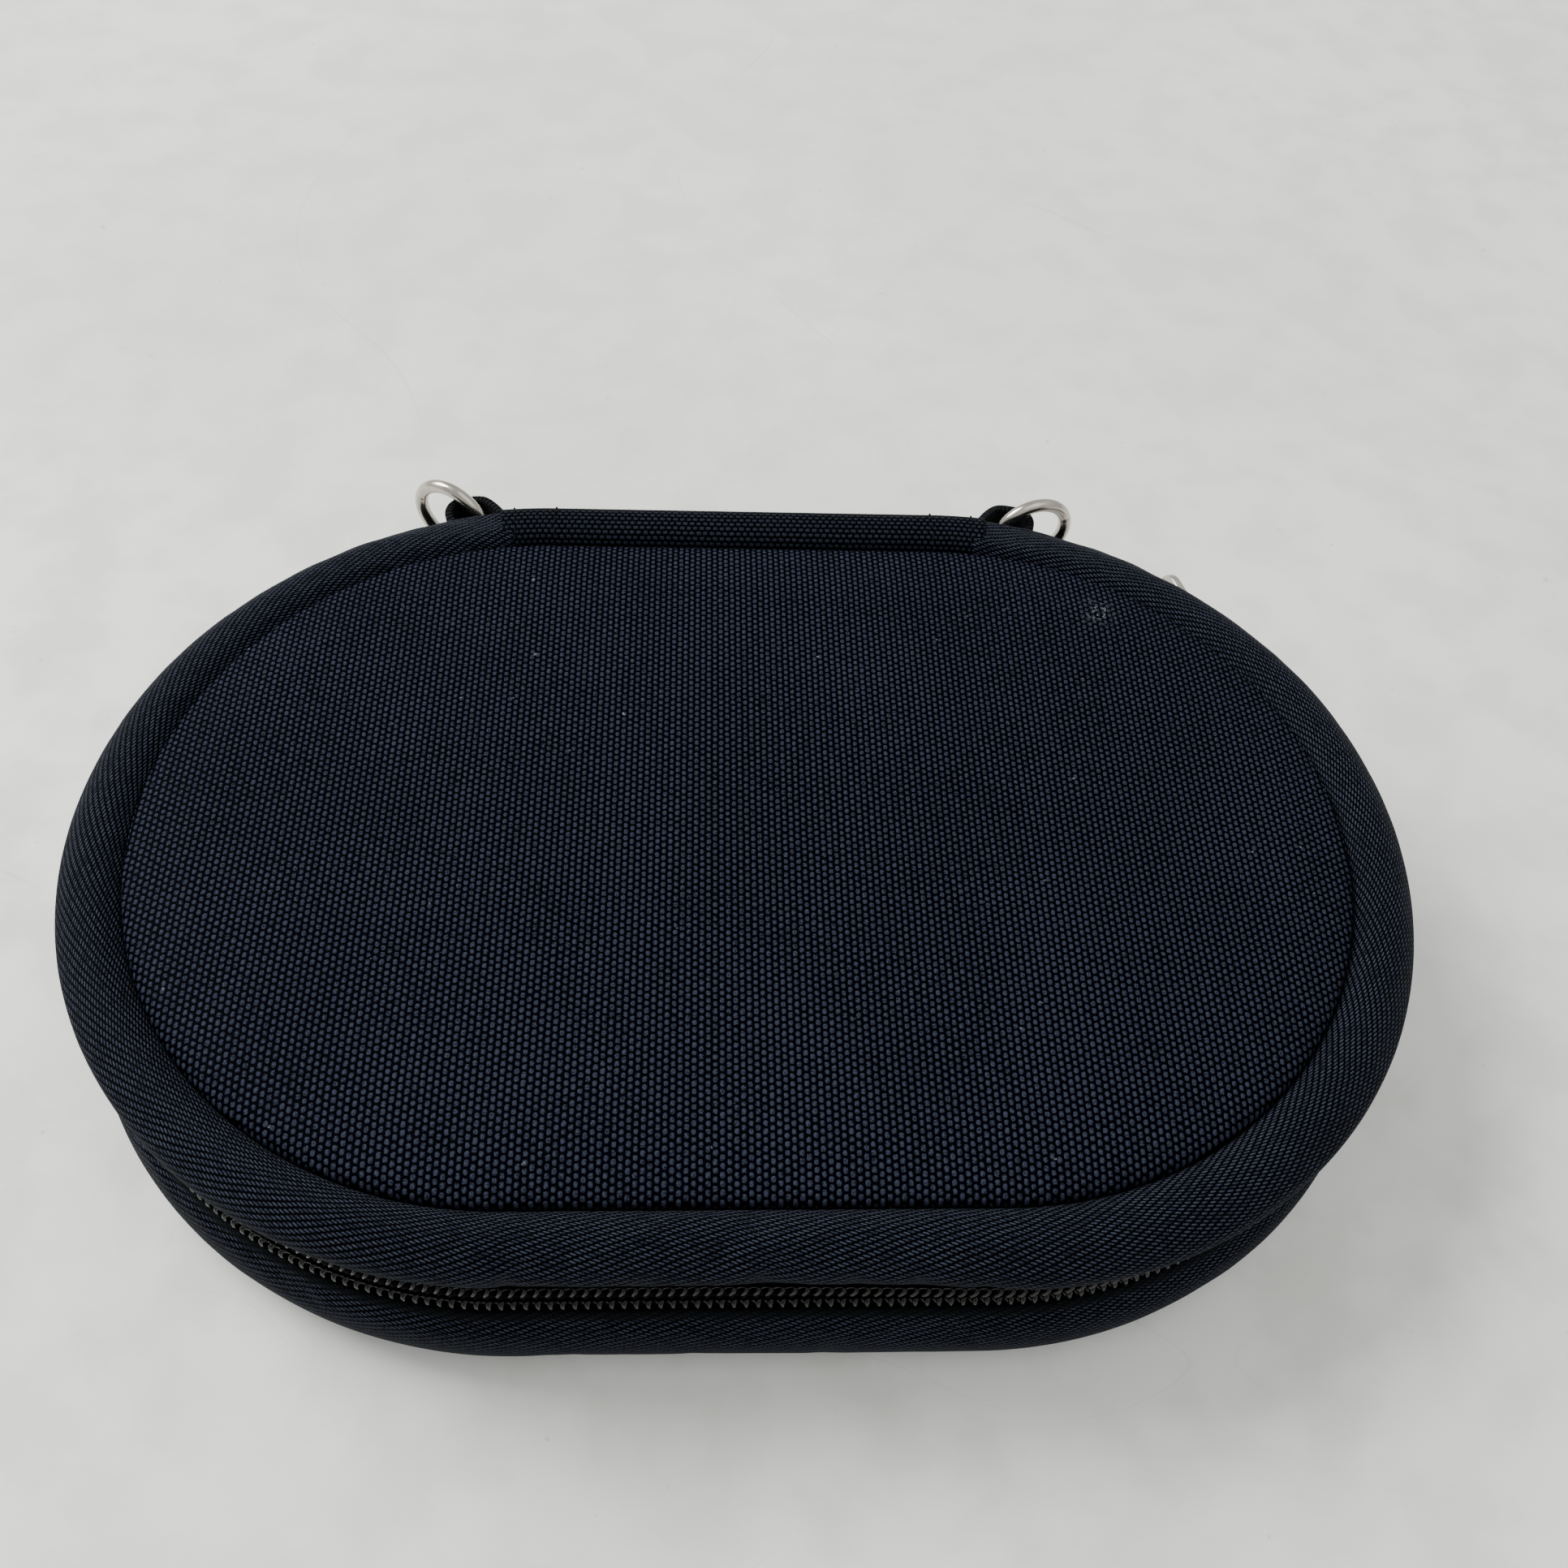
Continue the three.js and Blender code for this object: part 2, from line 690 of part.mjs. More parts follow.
/** The layers that both halves have; turn puts a section into its half. */
function halfShell(prefix, reach, turn) {
  const half = new THREE.Group();
  const ring = (section) => sweepSection(turn(section), fullPath(), true);
  const alongZip = (section) => sweepSection(turn(section), zipPath(), false);
  const boardLow = PANEL_SKIN + GAP;
  const boardHigh = boardLow + PANEL_BOARD;
  const foamLow = boardHigh + GAP;
  const boardInset = RIM_WIDTH + GAP + PANEL_DOME_WIDTH;
  const foamInset = RIM_WIDTH + 2 * GAP;
  half.add(
    piece(`${prefix}_panel`, sweepDish(turn(panelSection())), PANEL_FABRIC),
    piece(`${prefix}_board`, sweepDish(turn(layerSection(boardInset, boardLow, boardHigh))), BOARD),
    piece(`${prefix}_foam`, sweepDish(turn(layerSection(foamInset, foamLow, FLOOR_HEIGHT))), BLACK_FOAM),
    piece(`${prefix}_lining`, sweepDish(turn(liningSection(reach))), LINING_FABRIC),
    piece(`${prefix}_wall_foam`, ring(wallFoamSection(reach)), BLACK_FOAM),
    piece(`${prefix}_binding`, ring(bindingSection(reach)), TAPE),
    piece(`${prefix}_rim`, alongZip(rimSection(reach)), TWILL),
    piece(`${prefix}_zip_tape`, alongZip(tapeSection(reach)), TAPE),
    piece(`${prefix}_zip_coil`, alongZip(coilSection(reach)), NYLON),
    piece(`${prefix}_hinge_strip`, sweepSection(turn(hingeSection(reach)), hingePath(), false), PANEL_FABRIC),
  );
  return half;
}

/** Zip slider and pull tab, turned about the centre of the right-hand end. */
function zipPull() {
  const carriage = new THREE.Group();
  carriage.position.set(HALF_STRAIGHT, 0, BASE_HEIGHT);
  carriage.rotation.z = radians(SLIDER_ANGLE);
  const slider = piece('zip_slider', sliderGeometry(), NICKEL);
  slider.position.set(END_RADIUS, 0, 0);
  const pull = piece('zip_pull', pullGeometry(), NICKEL);
  pull.position.set(END_RADIUS + PIVOT_OUT, 0, 0);
  pull.rotation.z = -radians(PULL_ANGLE);
  carriage.add(slider, pull);
  return carriage;
}

/** Both webbing loops and the rings that stand in them. */
function ringsAndLoops() {
  const pair = new THREE.Group();
  const leg = ringLeg();
  const loop = rightLoopGeometry();
  const rightRing = piece('right_ring', ringGeometry(), NICKEL);
  rightRing.position.copy(leg);
  rightRing.rotation.z = radians(RIGHT_RING_SWING);
  const leftRing = piece('left_ring', mirrorX(ringGeometry()), NICKEL);
  leftRing.position.set(-leg.x, leg.y, leg.z);
  leftRing.rotation.z = -radians(LEFT_RING_SWING);
  pair.add(
    piece('right_loop', loop, WEBBING),
    piece('left_loop', mirrorX(loop), WEBBING),
    rightRing,
    leftRing,
  );
  return pair;
}

const group = new THREE.Group();
group.add(
  halfShell('base', BASE_HEIGHT, (section) => section),
  halfShell('lid', LID_HEIGHT, mirrored),
  piece('lid_pocket', pocketGeometry(), MESH_FABRIC),
  piece('pocket_elastic', elasticGeometry(), WEBBING),
  zipPull(),
  ringsAndLoops(),
);

export default group;
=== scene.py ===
"""Looks of an oval zip-up headphone case: woven panels, padded twill rims, coil zip and rings.

Lengths are in metres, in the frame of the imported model: +X along the case, +Y towards the
hinge and +Z up. A rise is measured from a half's own outer face towards the split.
"""
import json
import logging
import math
from dataclasses import dataclass
from enum import Enum
from typing import Optional, Sequence, Union

import bmesh
import bpy
import numpy as np
from mathutils import Matrix, Vector


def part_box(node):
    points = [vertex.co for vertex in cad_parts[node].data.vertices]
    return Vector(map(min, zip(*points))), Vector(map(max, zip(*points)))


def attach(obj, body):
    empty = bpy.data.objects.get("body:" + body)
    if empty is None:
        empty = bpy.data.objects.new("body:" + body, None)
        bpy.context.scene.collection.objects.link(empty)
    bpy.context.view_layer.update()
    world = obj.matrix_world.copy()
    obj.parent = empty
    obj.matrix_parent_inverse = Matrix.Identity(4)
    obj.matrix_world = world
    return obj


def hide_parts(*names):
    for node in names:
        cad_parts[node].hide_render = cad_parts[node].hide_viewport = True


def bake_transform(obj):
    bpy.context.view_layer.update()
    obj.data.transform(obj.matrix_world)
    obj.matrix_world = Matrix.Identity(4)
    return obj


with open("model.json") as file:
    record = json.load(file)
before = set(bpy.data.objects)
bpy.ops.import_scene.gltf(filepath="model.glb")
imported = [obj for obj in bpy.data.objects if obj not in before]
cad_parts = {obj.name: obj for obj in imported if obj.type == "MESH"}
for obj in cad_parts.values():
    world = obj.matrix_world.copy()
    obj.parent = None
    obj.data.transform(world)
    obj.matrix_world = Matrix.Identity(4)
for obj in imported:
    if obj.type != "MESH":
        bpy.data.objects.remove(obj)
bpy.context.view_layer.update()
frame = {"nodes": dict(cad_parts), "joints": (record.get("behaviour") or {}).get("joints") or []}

MM = 0.001
LOG = logging.getLogger("headphone_case")

Colour = tuple[float, float, float]
Line = Sequence[tuple[float, float]]
Value = Union[float, bpy.types.NodeSocket]


# ---- Outline and sizes ---------------------------------------------------------------------


@dataclass(frozen=True)
class Oval:
    """Outline of the case from above: two round ends joined by two straights.

    A place round it is its distance along from the middle of the back, by the left-hand end,
    the front and the right-hand end.
    """

    radius: float
    half_straight: float

    @property
    def length(self) -> float:
        """Distance once round."""
        return 4 * self.half_straight + 2 * math.pi * self.radius

    def station(self, along: float) -> tuple[float, float, float]:
        """Find the section that stands at a place.

        Args:
            along: Distance round the outline.

        Returns:
            X of the centre that it turns about, and X and Y of the way out of the case.
        """
        straight, arc = self.half_straight, math.pi * self.radius
        rest = along % self.length
        if rest <= straight:
            return -rest, 0.0, 1.0
        rest -= straight
        if rest <= arc:
            turn = math.pi / 2 + rest / self.radius
            return -straight, math.cos(turn), math.sin(turn)
        rest -= arc
        if rest <= 2 * straight:
            return rest - straight, 0.0, -1.0
        rest -= 2 * straight
        if rest <= arc:
            turn = rest / self.radius - math.pi / 2
            return straight, math.cos(turn), math.sin(turn)
        return straight - (rest - arc), 0.0, 1.0

    def point(self, along: float, inset: float, height: float) -> Vector:
        """Place a point from its distance round, its inset and its height.

        Args:
            along: Distance round the outline.
            inset: Distance in from the widest line.
            height: Height above the table.

        Returns:
            The point.
        """
        centre, out_x, out_y = self.station(along)
        reach = self.radius - inset
        return Vector((centre + out_x * reach, out_y * reach, height))


@dataclass(frozen=True)
class Half:
    """One half of the case, the base or the lid."""

    name: str
    face: float
    up: int
    reach: float
    fold: float

    def height(self, rise: float) -> float:
        """Height above the floor of a rise above the half's own face."""
        return self.face + self.up * rise


@dataclass(frozen=True)
class CaseSizes:
    """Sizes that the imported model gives."""

    oval: Oval
    base: Half
    lid: Half
    split: float
    rim_width: float
    hinge_half: float
    tape_inset: float
    coil_inset: float
    coil_out: float
    lining_inset: float
    floor_rise: float
    fold_inset: float = 1.8 * MM
    gap: float = 0.3 * MM

    @classmethod
    def from_frame(cls) -> "CaseSizes":
        """Work the sizes out from the boxes of the CAD nodes.

        Returns:
            The sizes.
        """
        rim_low, rim_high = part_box("base_rim")
        lid_rim_low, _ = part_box("lid_rim")
        _, lid_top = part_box("lid_panel")
        _, panel_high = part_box("base_panel")
        _, tape_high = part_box("base_zip_tape")
        _, coil_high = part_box("base_zip_coil")
        _, lining_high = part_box("base_lining")
        foam_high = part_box("base_foam")[1]
        _, hinge_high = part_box("base_hinge_strip")
        radius = -rim_low.y
        split = (rim_high.z + lid_rim_low.z) / 2
        gap = 0.3 * MM
        return cls(
            oval=Oval(radius, rim_high.x - radius),
            base=Half("base", 0.0, 1, split, rim_high.z),
            lid=Half("lid", lid_top.z, -1, lid_top.z - split, lid_top.z - lid_rim_low.z),
            split=split,
            rim_width=rim_high.x - panel_high.x - gap,
            hinge_half=hinge_high.x + gap,
            tape_inset=rim_high.x - tape_high.x,
            coil_inset=rim_high.x - coil_high.x,
            coil_out=1.3 * MM,
            lining_inset=rim_high.x - lining_high.x,
            floor_rise=foam_high.z,
        )


# ---- Meshes --------------------------------------------------------------------------------


def smooth_line(points: Line, spacing: float) -> np.ndarray:
    """Run a smooth line through points and space it evenly.

    Args:
        points: Points that the line passes through.
        spacing: Distance between two points of the result.

    Returns:
        The line's points, one row each.
    """
    given = np.array(points, float)
    ends = np.vstack([2 * given[0] - given[1], given, 2 * given[-1] - given[-2]])
    fine = []
    for a, b, c, d in zip(ends, ends[1:], ends[2:], ends[3:]):
        for t in np.linspace(0, 1, 12, endpoint=False):
            square, cube = (2 * a - 5 * b + 4 * c - d) * t * t, (3 * b - a - 3 * c + d) * t**3
            fine.append(0.5 * (2 * b + (c - a) * t + square + cube))
    fine.append(given[-1])
    line = np.array(fine)
    reach = np.concatenate([[0], np.cumsum(np.linalg.norm(np.diff(line, axis=0), axis=1))])
    count = max(3, round(reach[-1] / spacing) + 1)
    at = np.linspace(0, reach[-1], count)
    return np.stack([np.interp(at, reach, line[:, k]) for k in range(line.shape[1])], 1)


def smoothstep(value: float) -> float:
    """Rise smoothly from 0 at 0 to 1 at 1."""
    t = min(1.0, max(0.0, value))
    return t * t * (3 - 2 * t)


def line_length(line: np.ndarray) -> np.ndarray:
    """Distance along a line to each of its points."""
    return np.concatenate([[0], np.cumsum(np.linalg.norm(np.diff(line, axis=0), axis=1))])


def places(start: float, end: float, spacing: float) -> np.ndarray:
    """Even distances from one place round the outline to another."""
    return np.linspace(start, end, max(2, round(abs(end - start) / spacing) + 1))


def link(mesh: bpy.types.Mesh, name: str) -> bpy.types.Object:
    """Put a mesh in the scene as a smooth-shaded object.

    Args:
        mesh: The mesh.
        name: Name of the object.

    Returns:
        The object.
    """
    piece = bpy.data.objects.new(name, mesh)
    bpy.context.scene.collection.objects.link(piece)
    mesh.polygons.foreach_set("use_smooth", [True] * len(mesh.polygons))
    return piece


def grid_piece(
    name: str, points: np.ndarray, cloth: np.ndarray, flip: bool = False, loop: bool = False
) -> bpy.types.Object:
    """Make a sheet of quads with the cloth's own coordinates.

    Args:
        name: Name of the piece.
        points: Places, as rows by columns by three.
        cloth: Distances along and across the cloth, as rows by columns by two.
        flip: Turn the faces over.
        loop: Join the last row to the first; the last row of cloth is then one more.

    Returns:
        The new object.
    """
    rows, columns = points.shape[:2]
    spans = rows if loop else rows - 1
    i, j = np.meshgrid(np.arange(spans), np.arange(columns - 1), indexing="ij")
    i, j = i.ravel(), j.ravel()
    corners = [(i, j), (i + 1, j), (i + 1, j + 1), (i, j + 1)]
    if flip:
        corners.reverse()
    faces = np.stack([(a % rows) * columns + b for a, b in corners], 1)
    spread = np.stack([cloth[a, b] for a, b in corners], 1)
    mesh = bpy.data.meshes.new(name)
    mesh.from_pydata(points.reshape(-1, 3).tolist(), [], faces.tolist())
    layer = mesh.uv_layers.new(name="cloth")
    layer.data.foreach_set("uv", spread.astype(np.float32).ravel())
    return link(mesh, name)


def sweep(
    name: str, oval: Oval, section: np.ndarray, along: np.ndarray, flip: bool = False,
    loop: bool = False, ripple: Optional["Ripple"] = None, from_far: bool = False,
    gape: Optional["Gape"] = None,
) -> bpy.types.Object:
    """Sweep an open section, given as insets and heights, round the outline.

    Args:
        name: Name of the piece.
        oval: The outline.
        section: Insets and heights.
        along: Distances round the outline.
        flip: Turn the faces over.
        loop: Close the sweep on itself; along then ends one step past the last row.
        ripple: Unevenness of the sewn cloth.
        from_far: Measure the cloth from the section's far end, where it is 0.
        gape: Drawing back of the section's far end.

    Returns:
        The new object.
    """
    across = line_length(section)
    rows = []
    for distance in along[:-1] if loop else along:
        row = []
        for (inset, height), width in zip(section, across):
            lift = ripple.lift(distance, width, across[-1]) if ripple else 0.0
            lift -= gape.inset(distance) * smoothstep(2 * width / across[-1]) if gape else 0.0
            row.append(oval.point(distance, inset - lift, height))
        rows.append(row)
    start = across[-1] if from_far else 0.0
    cloth = np.stack(np.meshgrid(along, across - start, indexing="ij"), 2)
    return grid_piece(name, np.array(rows, float), cloth, flip, loop)


@dataclass(frozen=True)
class Gape:
    """How far the lid's side of the opening draws back at the front left."""

    depth: float
    least: float = 0.0
    start: float = 125 * MM
    full: float = 205 * MM
    fall: float = 255 * MM
    end: float = 318 * MM

    def inset(self, along: float) -> float:
        """Extra inset at a distance round the outline.

        Args:
            along: Distance round the outline.

        Returns:
            The extra inset.
        """
        rise = smoothstep((along - self.start) / (self.full - self.start))
        fall = smoothstep((along - self.fall) / (self.end - self.fall))
        return self.least + (self.depth - self.least) * rise * (1 - fall)


@dataclass(frozen=True)
class Ripple:
    """Small puckers that a seam draws into cloth, fading away from it."""

    height: float
    fade: float
    seed: float = 0.0

    def lift(self, along: float, across: float, width: float) -> float:
        """How far the cloth stands out at a point.

        Args:
            along: Distance along the seam.
            across: Distance from the first seam.
            width: Distance between the two seams.

        Returns:
            The lift, outwards.
        """
        waves = sum(
            math.sin(along / wave + self.seed + 1.7 * k)
            for k, wave in enumerate((0.61 * MM, 1.07 * MM, 2.9 * MM))
        )
        near = math.exp(-across / self.fade) + math.exp(-(width - across) / self.fade)
        held = min(1.0, across / MM, (width - across) / MM)
        return self.height * waves / 3 * near * held


def mirror_cloth(piece: bpy.types.Object) -> None:
    """Turn the cloth over, so that its diagonals run the other way."""
    for corner in piece.data.uv_layers["cloth"].data:
        corner.uv.x = -corner.uv.x


def fill_holes(piece: bpy.types.Object) -> None:
    """Close the open edges of a sheet with flat faces.

    Args:
        piece: The sheet.
    """
    shape = bmesh.new()
    shape.from_mesh(piece.data)
    bmesh.ops.holes_fill(shape, edges=[e for e in shape.edges if e.is_boundary], sides=0)
    shape.to_mesh(piece.data)
    shape.free()


def face_out(piece: bpy.types.Object) -> bpy.types.Object:
    """Point every face of a closed piece outwards.

    Args:
        piece: The closed piece.

    Returns:
        The same piece.
    """
    shape = bmesh.new()
    shape.from_mesh(piece.data)
    bmesh.ops.recalc_face_normals(shape, faces=shape.faces)
    shape.to_mesh(piece.data)
    shape.free()
    return piece


def thicken(piece: bpy.types.Object, wall: float, levels: int = 0) -> bpy.types.Object:
    """Give a sheet its thickness, inwards, and apply it.

    Args:
        piece: The sheet.
        wall: Thickness.
        levels: Subdivisions.

    Returns:
        The same object with a plain mesh.
    """
    if levels:
        finer = piece.modifiers.new("finer", "SUBSURF")
        finer.levels = finer.render_levels = levels
    if wall:
        solid = piece.modifiers.new("wall", "SOLIDIFY")
        solid.thickness = wall
        solid.offset = -1
    return plain(piece)


def plain(piece: bpy.types.Object) -> bpy.types.Object:
    """Swap a piece's mesh for the evaluated one and take its modifiers off.

    Args:
        piece: The piece.

    Returns:
        The same piece.
    """
    depsgraph = bpy.context.evaluated_depsgraph_get()
    depsgraph.update()
    mesh = bpy.data.meshes.new_from_object(
        piece.evaluated_get(depsgraph), preserve_all_data_layers=True, depsgraph=depsgraph
    )
    piece.modifiers.clear()
    mesh.name = piece.name
    piece.data = mesh
    mesh.polygons.foreach_set("use_smooth", [True] * len(mesh.polygons))
    return piece


def wire_line(name: str, points: Sequence[Vector]) -> bpy.types.Object:
    """Make an object of edges alone, for Geometry Nodes to follow.

    Args:
        name: Name of the object.
        points: Points of the line, in order.

    Returns:
        The object.
    """
    mesh = bpy.data.meshes.new(name)
    edges = [(i, i + 1) for i in range(len(points) - 1)]
    mesh.from_pydata([tuple(p) for p in points], edges, [])
    piece = bpy.data.objects.new(name, mesh)
    bpy.context.scene.collection.objects.link(piece)
    return piece


def settle(piece: bpy.types.Object, held: np.ndarray, pressure: float, most: float) -> None:
    """Let padding push a cover out by cloth simulation, and keep the result.

    Args:
        piece: An open sheet.
        held: Weight of each point, 1 where the cover is sewn down.
        pressure: Push of the padding.
        most: The furthest that a point may move.
    """
    rest = np.array([v.co for v in piece.data.vertices], float)
    group = piece.vertex_groups.new(name="sewn")
    for i, weight in enumerate(held):
        if weight > 0:
            group.add([i], float(weight), "REPLACE")
    cover = piece.modifiers.new("cover", "CLOTH")
    cloth = cover.settings
    cloth.quality = 6
    cloth.mass = 0.2
    cloth.tension_stiffness = cloth.compression_stiffness = 18
    cloth.shear_stiffness = 6
    cloth.bending_stiffness = 0.4
    cloth.shrink_min = -0.03
    cloth.use_pressure = True
    cloth.uniform_pressure_force = pressure
    cloth.vertex_group_mass = "sewn"
    cloth.effector_weights.gravity = 0
    cover.collision_settings.use_collision = False
    cover.point_cache.frame_start = 1
    cover.point_cache.frame_end = SIM_FRAMES
    scene = bpy.context.scene
    for step in range(1, SIM_FRAMES + 1):
        scene.frame_set(step)
    depsgraph = bpy.context.evaluated_depsgraph_get()
    shaped = piece.evaluated_get(depsgraph).data
    move = np.array([v.co for v in shaped.vertices], float) - rest
    piece.modifiers.clear()
    scene.frame_set(1)
    far = np.linalg.norm(move, axis=1)
    LOG.info("%s: cloth moved %.2f mm, %.2f at most", piece.name, far.mean() / MM, far.max() / MM)
    move *= (most * np.tanh(far / most) / np.maximum(far, 1e-9))[:, None]
    piece.data.vertices.foreach_set("co", (rest + move).astype(np.float32).ravel())
    piece.data.update()


SIM_FRAMES = 16


# ---- Geometry Nodes ------------------------------------------------------------------------


class NodeRecipe:
    """A Geometry Nodes tree, built step by step and then applied to a piece."""

    def __init__(self, name: str) -> None:
        """Start an empty tree with geometry in and geometry out.

        Args:
            name: Name of the tree.
        """
        self.tree = bpy.data.node_groups.new(name, "GeometryNodeTree")
        face = self.tree.interface
        face.new_socket("Geometry", in_out="INPUT", socket_type="NodeSocketGeometry")
        face.new_socket("Geometry", in_out="OUTPUT", socket_type="NodeSocketGeometry")
        self.start = self.tree.nodes.new("NodeGroupInput")
        self.end = self.tree.nodes.new("NodeGroupOutput")
        self.values: dict[str, Union[float, int]] = {}

    def size(self, name: str, value: Union[float, int]) -> bpy.types.NodeSocket:
        """Add a named input.

        Args:
            name: The input's name.
            value: The value that the modifier gives it.

        Returns:
            The socket inside the tree.
        """
        kind = "NodeSocketInt" if isinstance(value, int) else "NodeSocketFloat"
        socket = self.tree.interface.new_socket(name, in_out="INPUT", socket_type=kind)
        self.values[socket.identifier] = value
        return self.start.outputs[name]

    def add(self, kind: str, feeds: Optional[dict] = None, **settings: object) -> bpy.types.Node:
        """Add a node.

        Args:
            kind: The node's type.
            feeds: Input name or number to a socket or a value.
            settings: Properties of the node.

        Returns:
            The node.
        """
        node = self.tree.nodes.new(kind)
        for key, value in settings.items():
            setattr(node, key, value)
        for key, value in (feeds or {}).items():
            if isinstance(value, bpy.types.NodeSocket):
                self.tree.links.new(value, node.inputs[key])
            else:
                node.inputs[key].default_value = value
        return node

    def math(self, operation: str, a: Value, b: Value = 0.0) -> bpy.types.NodeSocket:
        """Add one sum of two numbers."""
        return self.add("ShaderNodeMath", {0: a, 1: b}, operation=operation).outputs[0]

    def vector(self, operation: str, a: object, b: object) -> bpy.types.NodeSocket:
        """Add one sum of two vectors."""
        return self.add("ShaderNodeVectorMath", {0: a, 1: b}, operation=operation).outputs[0]

    def scaled(self, vector: bpy.types.NodeSocket, scale: Value) -> bpy.types.NodeSocket:
        """Scale a vector by a number."""
        feeds = {0: vector, "Scale": scale}
        return self.add("ShaderNodeVectorMath", feeds, operation="SCALE").outputs[0]

    def apply(
        self, piece: bpy.types.Object, shape: bpy.types.NodeSocket, finish: bpy.types.Material
    ) -> bpy.types.Object:
        """Close the tree, run it on a piece and keep the result as a plain mesh.

        Args:
            piece: Object that the tree works on.
            shape: Geometry to put out.
            finish: Its material.

        Returns:
            The same object.
        """
        real = self.add("GeometryNodeRealizeInstances", {0: shape})
        dressed = self.add("GeometryNodeSetMaterial", {0: real.outputs[0], "Material": finish})
        self.tree.links.new(dressed.outputs[0], self.end.inputs[0])
        modifier = piece.modifiers.new("recipe", "NODES")
        modifier.node_group = self.tree
        for identifier, value in self.values.items():
            modifier[identifier] = value
        piece = plain(piece)
        piece.data.materials.clear()
        piece.data.materials.append(finish)
        return piece


@dataclass(frozen=True)
class StitchRow:
    """A row of thread stitches along a line."""

    pitch: float = 3.0 * MM
    length: float = 2.3 * MM
    thread: float = 0.28 * MM

    def sew(
        self, name: str, points: Sequence[Vector], finish: bpy.types.Material
    ) -> bpy.types.Object:
        """Lay stitches along a line.

        Args:
            name: Name of the piece.
            points: The line.
            finish: Material of the thread.

        Returns:
            The stitches as one plain mesh.
        """
        recipe = NodeRecipe(f"{name}_recipe")
        pitch = recipe.size("Pitch", self.pitch)
        length = recipe.size("Stitch length", self.length)
        thread = recipe.size("Thread radius", self.thread)
        line = recipe.add("GeometryNodeMeshToCurve", {0: recipe.start.outputs[0]})
        spaced = recipe.add("GeometryNodeResampleCurve", {0: line.outputs[0], "Length": pitch}, mode="LENGTH")
        tangent = recipe.add("GeometryNodeInputTangent").outputs[0]
        turn = recipe.add("FunctionNodeAlignRotationToVector", {"Vector": tangent}, axis="X")
        bead = recipe.add("GeometryNodeMeshUVSphere", {"Segments": 8, "Rings": 6, "Radius": 1.0})
        half = recipe.math("MULTIPLY", length, 0.5)
        stretch = recipe.add("ShaderNodeCombineXYZ", {0: half, 1: thread, 2: thread})
        rows = recipe.add(
            "GeometryNodeInstanceOnPoints",
            {0: spaced.outputs[0], "Instance": bead.outputs[0], "Rotation": turn.outputs[0],
             "Scale": stretch.outputs[0]},
        )
        return recipe.apply(wire_line(name, points), rows.outputs[0], finish)


@dataclass(frozen=True)
class Fray:
    """Stray fibres that stand off a worn edge."""

    length: float = 1.1 * MM
    thread: float = 0.045 * MM
    seed: int = 1

    def scatter(
        self, name: str, points: Sequence[Vector], finish: bpy.types.Material
    ) -> bpy.types.Object:
        """Set one fibre, turned at random, at each point.

        Args:
            name: Name of the piece.
            points: Where the fibres stand.
            finish: Their material.

        Returns:
            The fibres as one plain mesh.
        """
        recipe = NodeRecipe(f"{name}_recipe")
        length = recipe.size("Fibre length", self.length)
        thread = recipe.size("Fibre radius", self.thread)
        random = recipe.add("FunctionNodeRandomValue", data_type="FLOAT_VECTOR")
        random.inputs[0].default_value = (-1.0, -1.0, -1.0)
        random.inputs[1].default_value = (1.0, 1.0, 1.0)
        recipe.tree.links.new(recipe.size("Seed", self.seed), random.inputs["Seed"])
        turn = recipe.add("FunctionNodeAlignRotationToVector", {"Vector": random.outputs[0]}, axis="Z")
        bead = recipe.add("GeometryNodeMeshUVSphere", {"Segments": 5, "Rings": 5, "Radius": 1.0})
        tall = recipe.math("MULTIPLY", length, 0.5)
        size = recipe.add("ShaderNodeCombineXYZ", {0: thread, 1: thread, 2: tall})
        tufts = recipe.add(
            "GeometryNodeInstanceOnPoints",
            {0: recipe.start.outputs[0], "Instance": bead.outputs[0], "Rotation": turn.outputs[0],
             "Scale": size.outputs[0]},
        )
        return recipe.apply(wire_line(name, points), tufts.outputs[0], finish)


# ---- Finishes ------------------------------------------------------------------------------


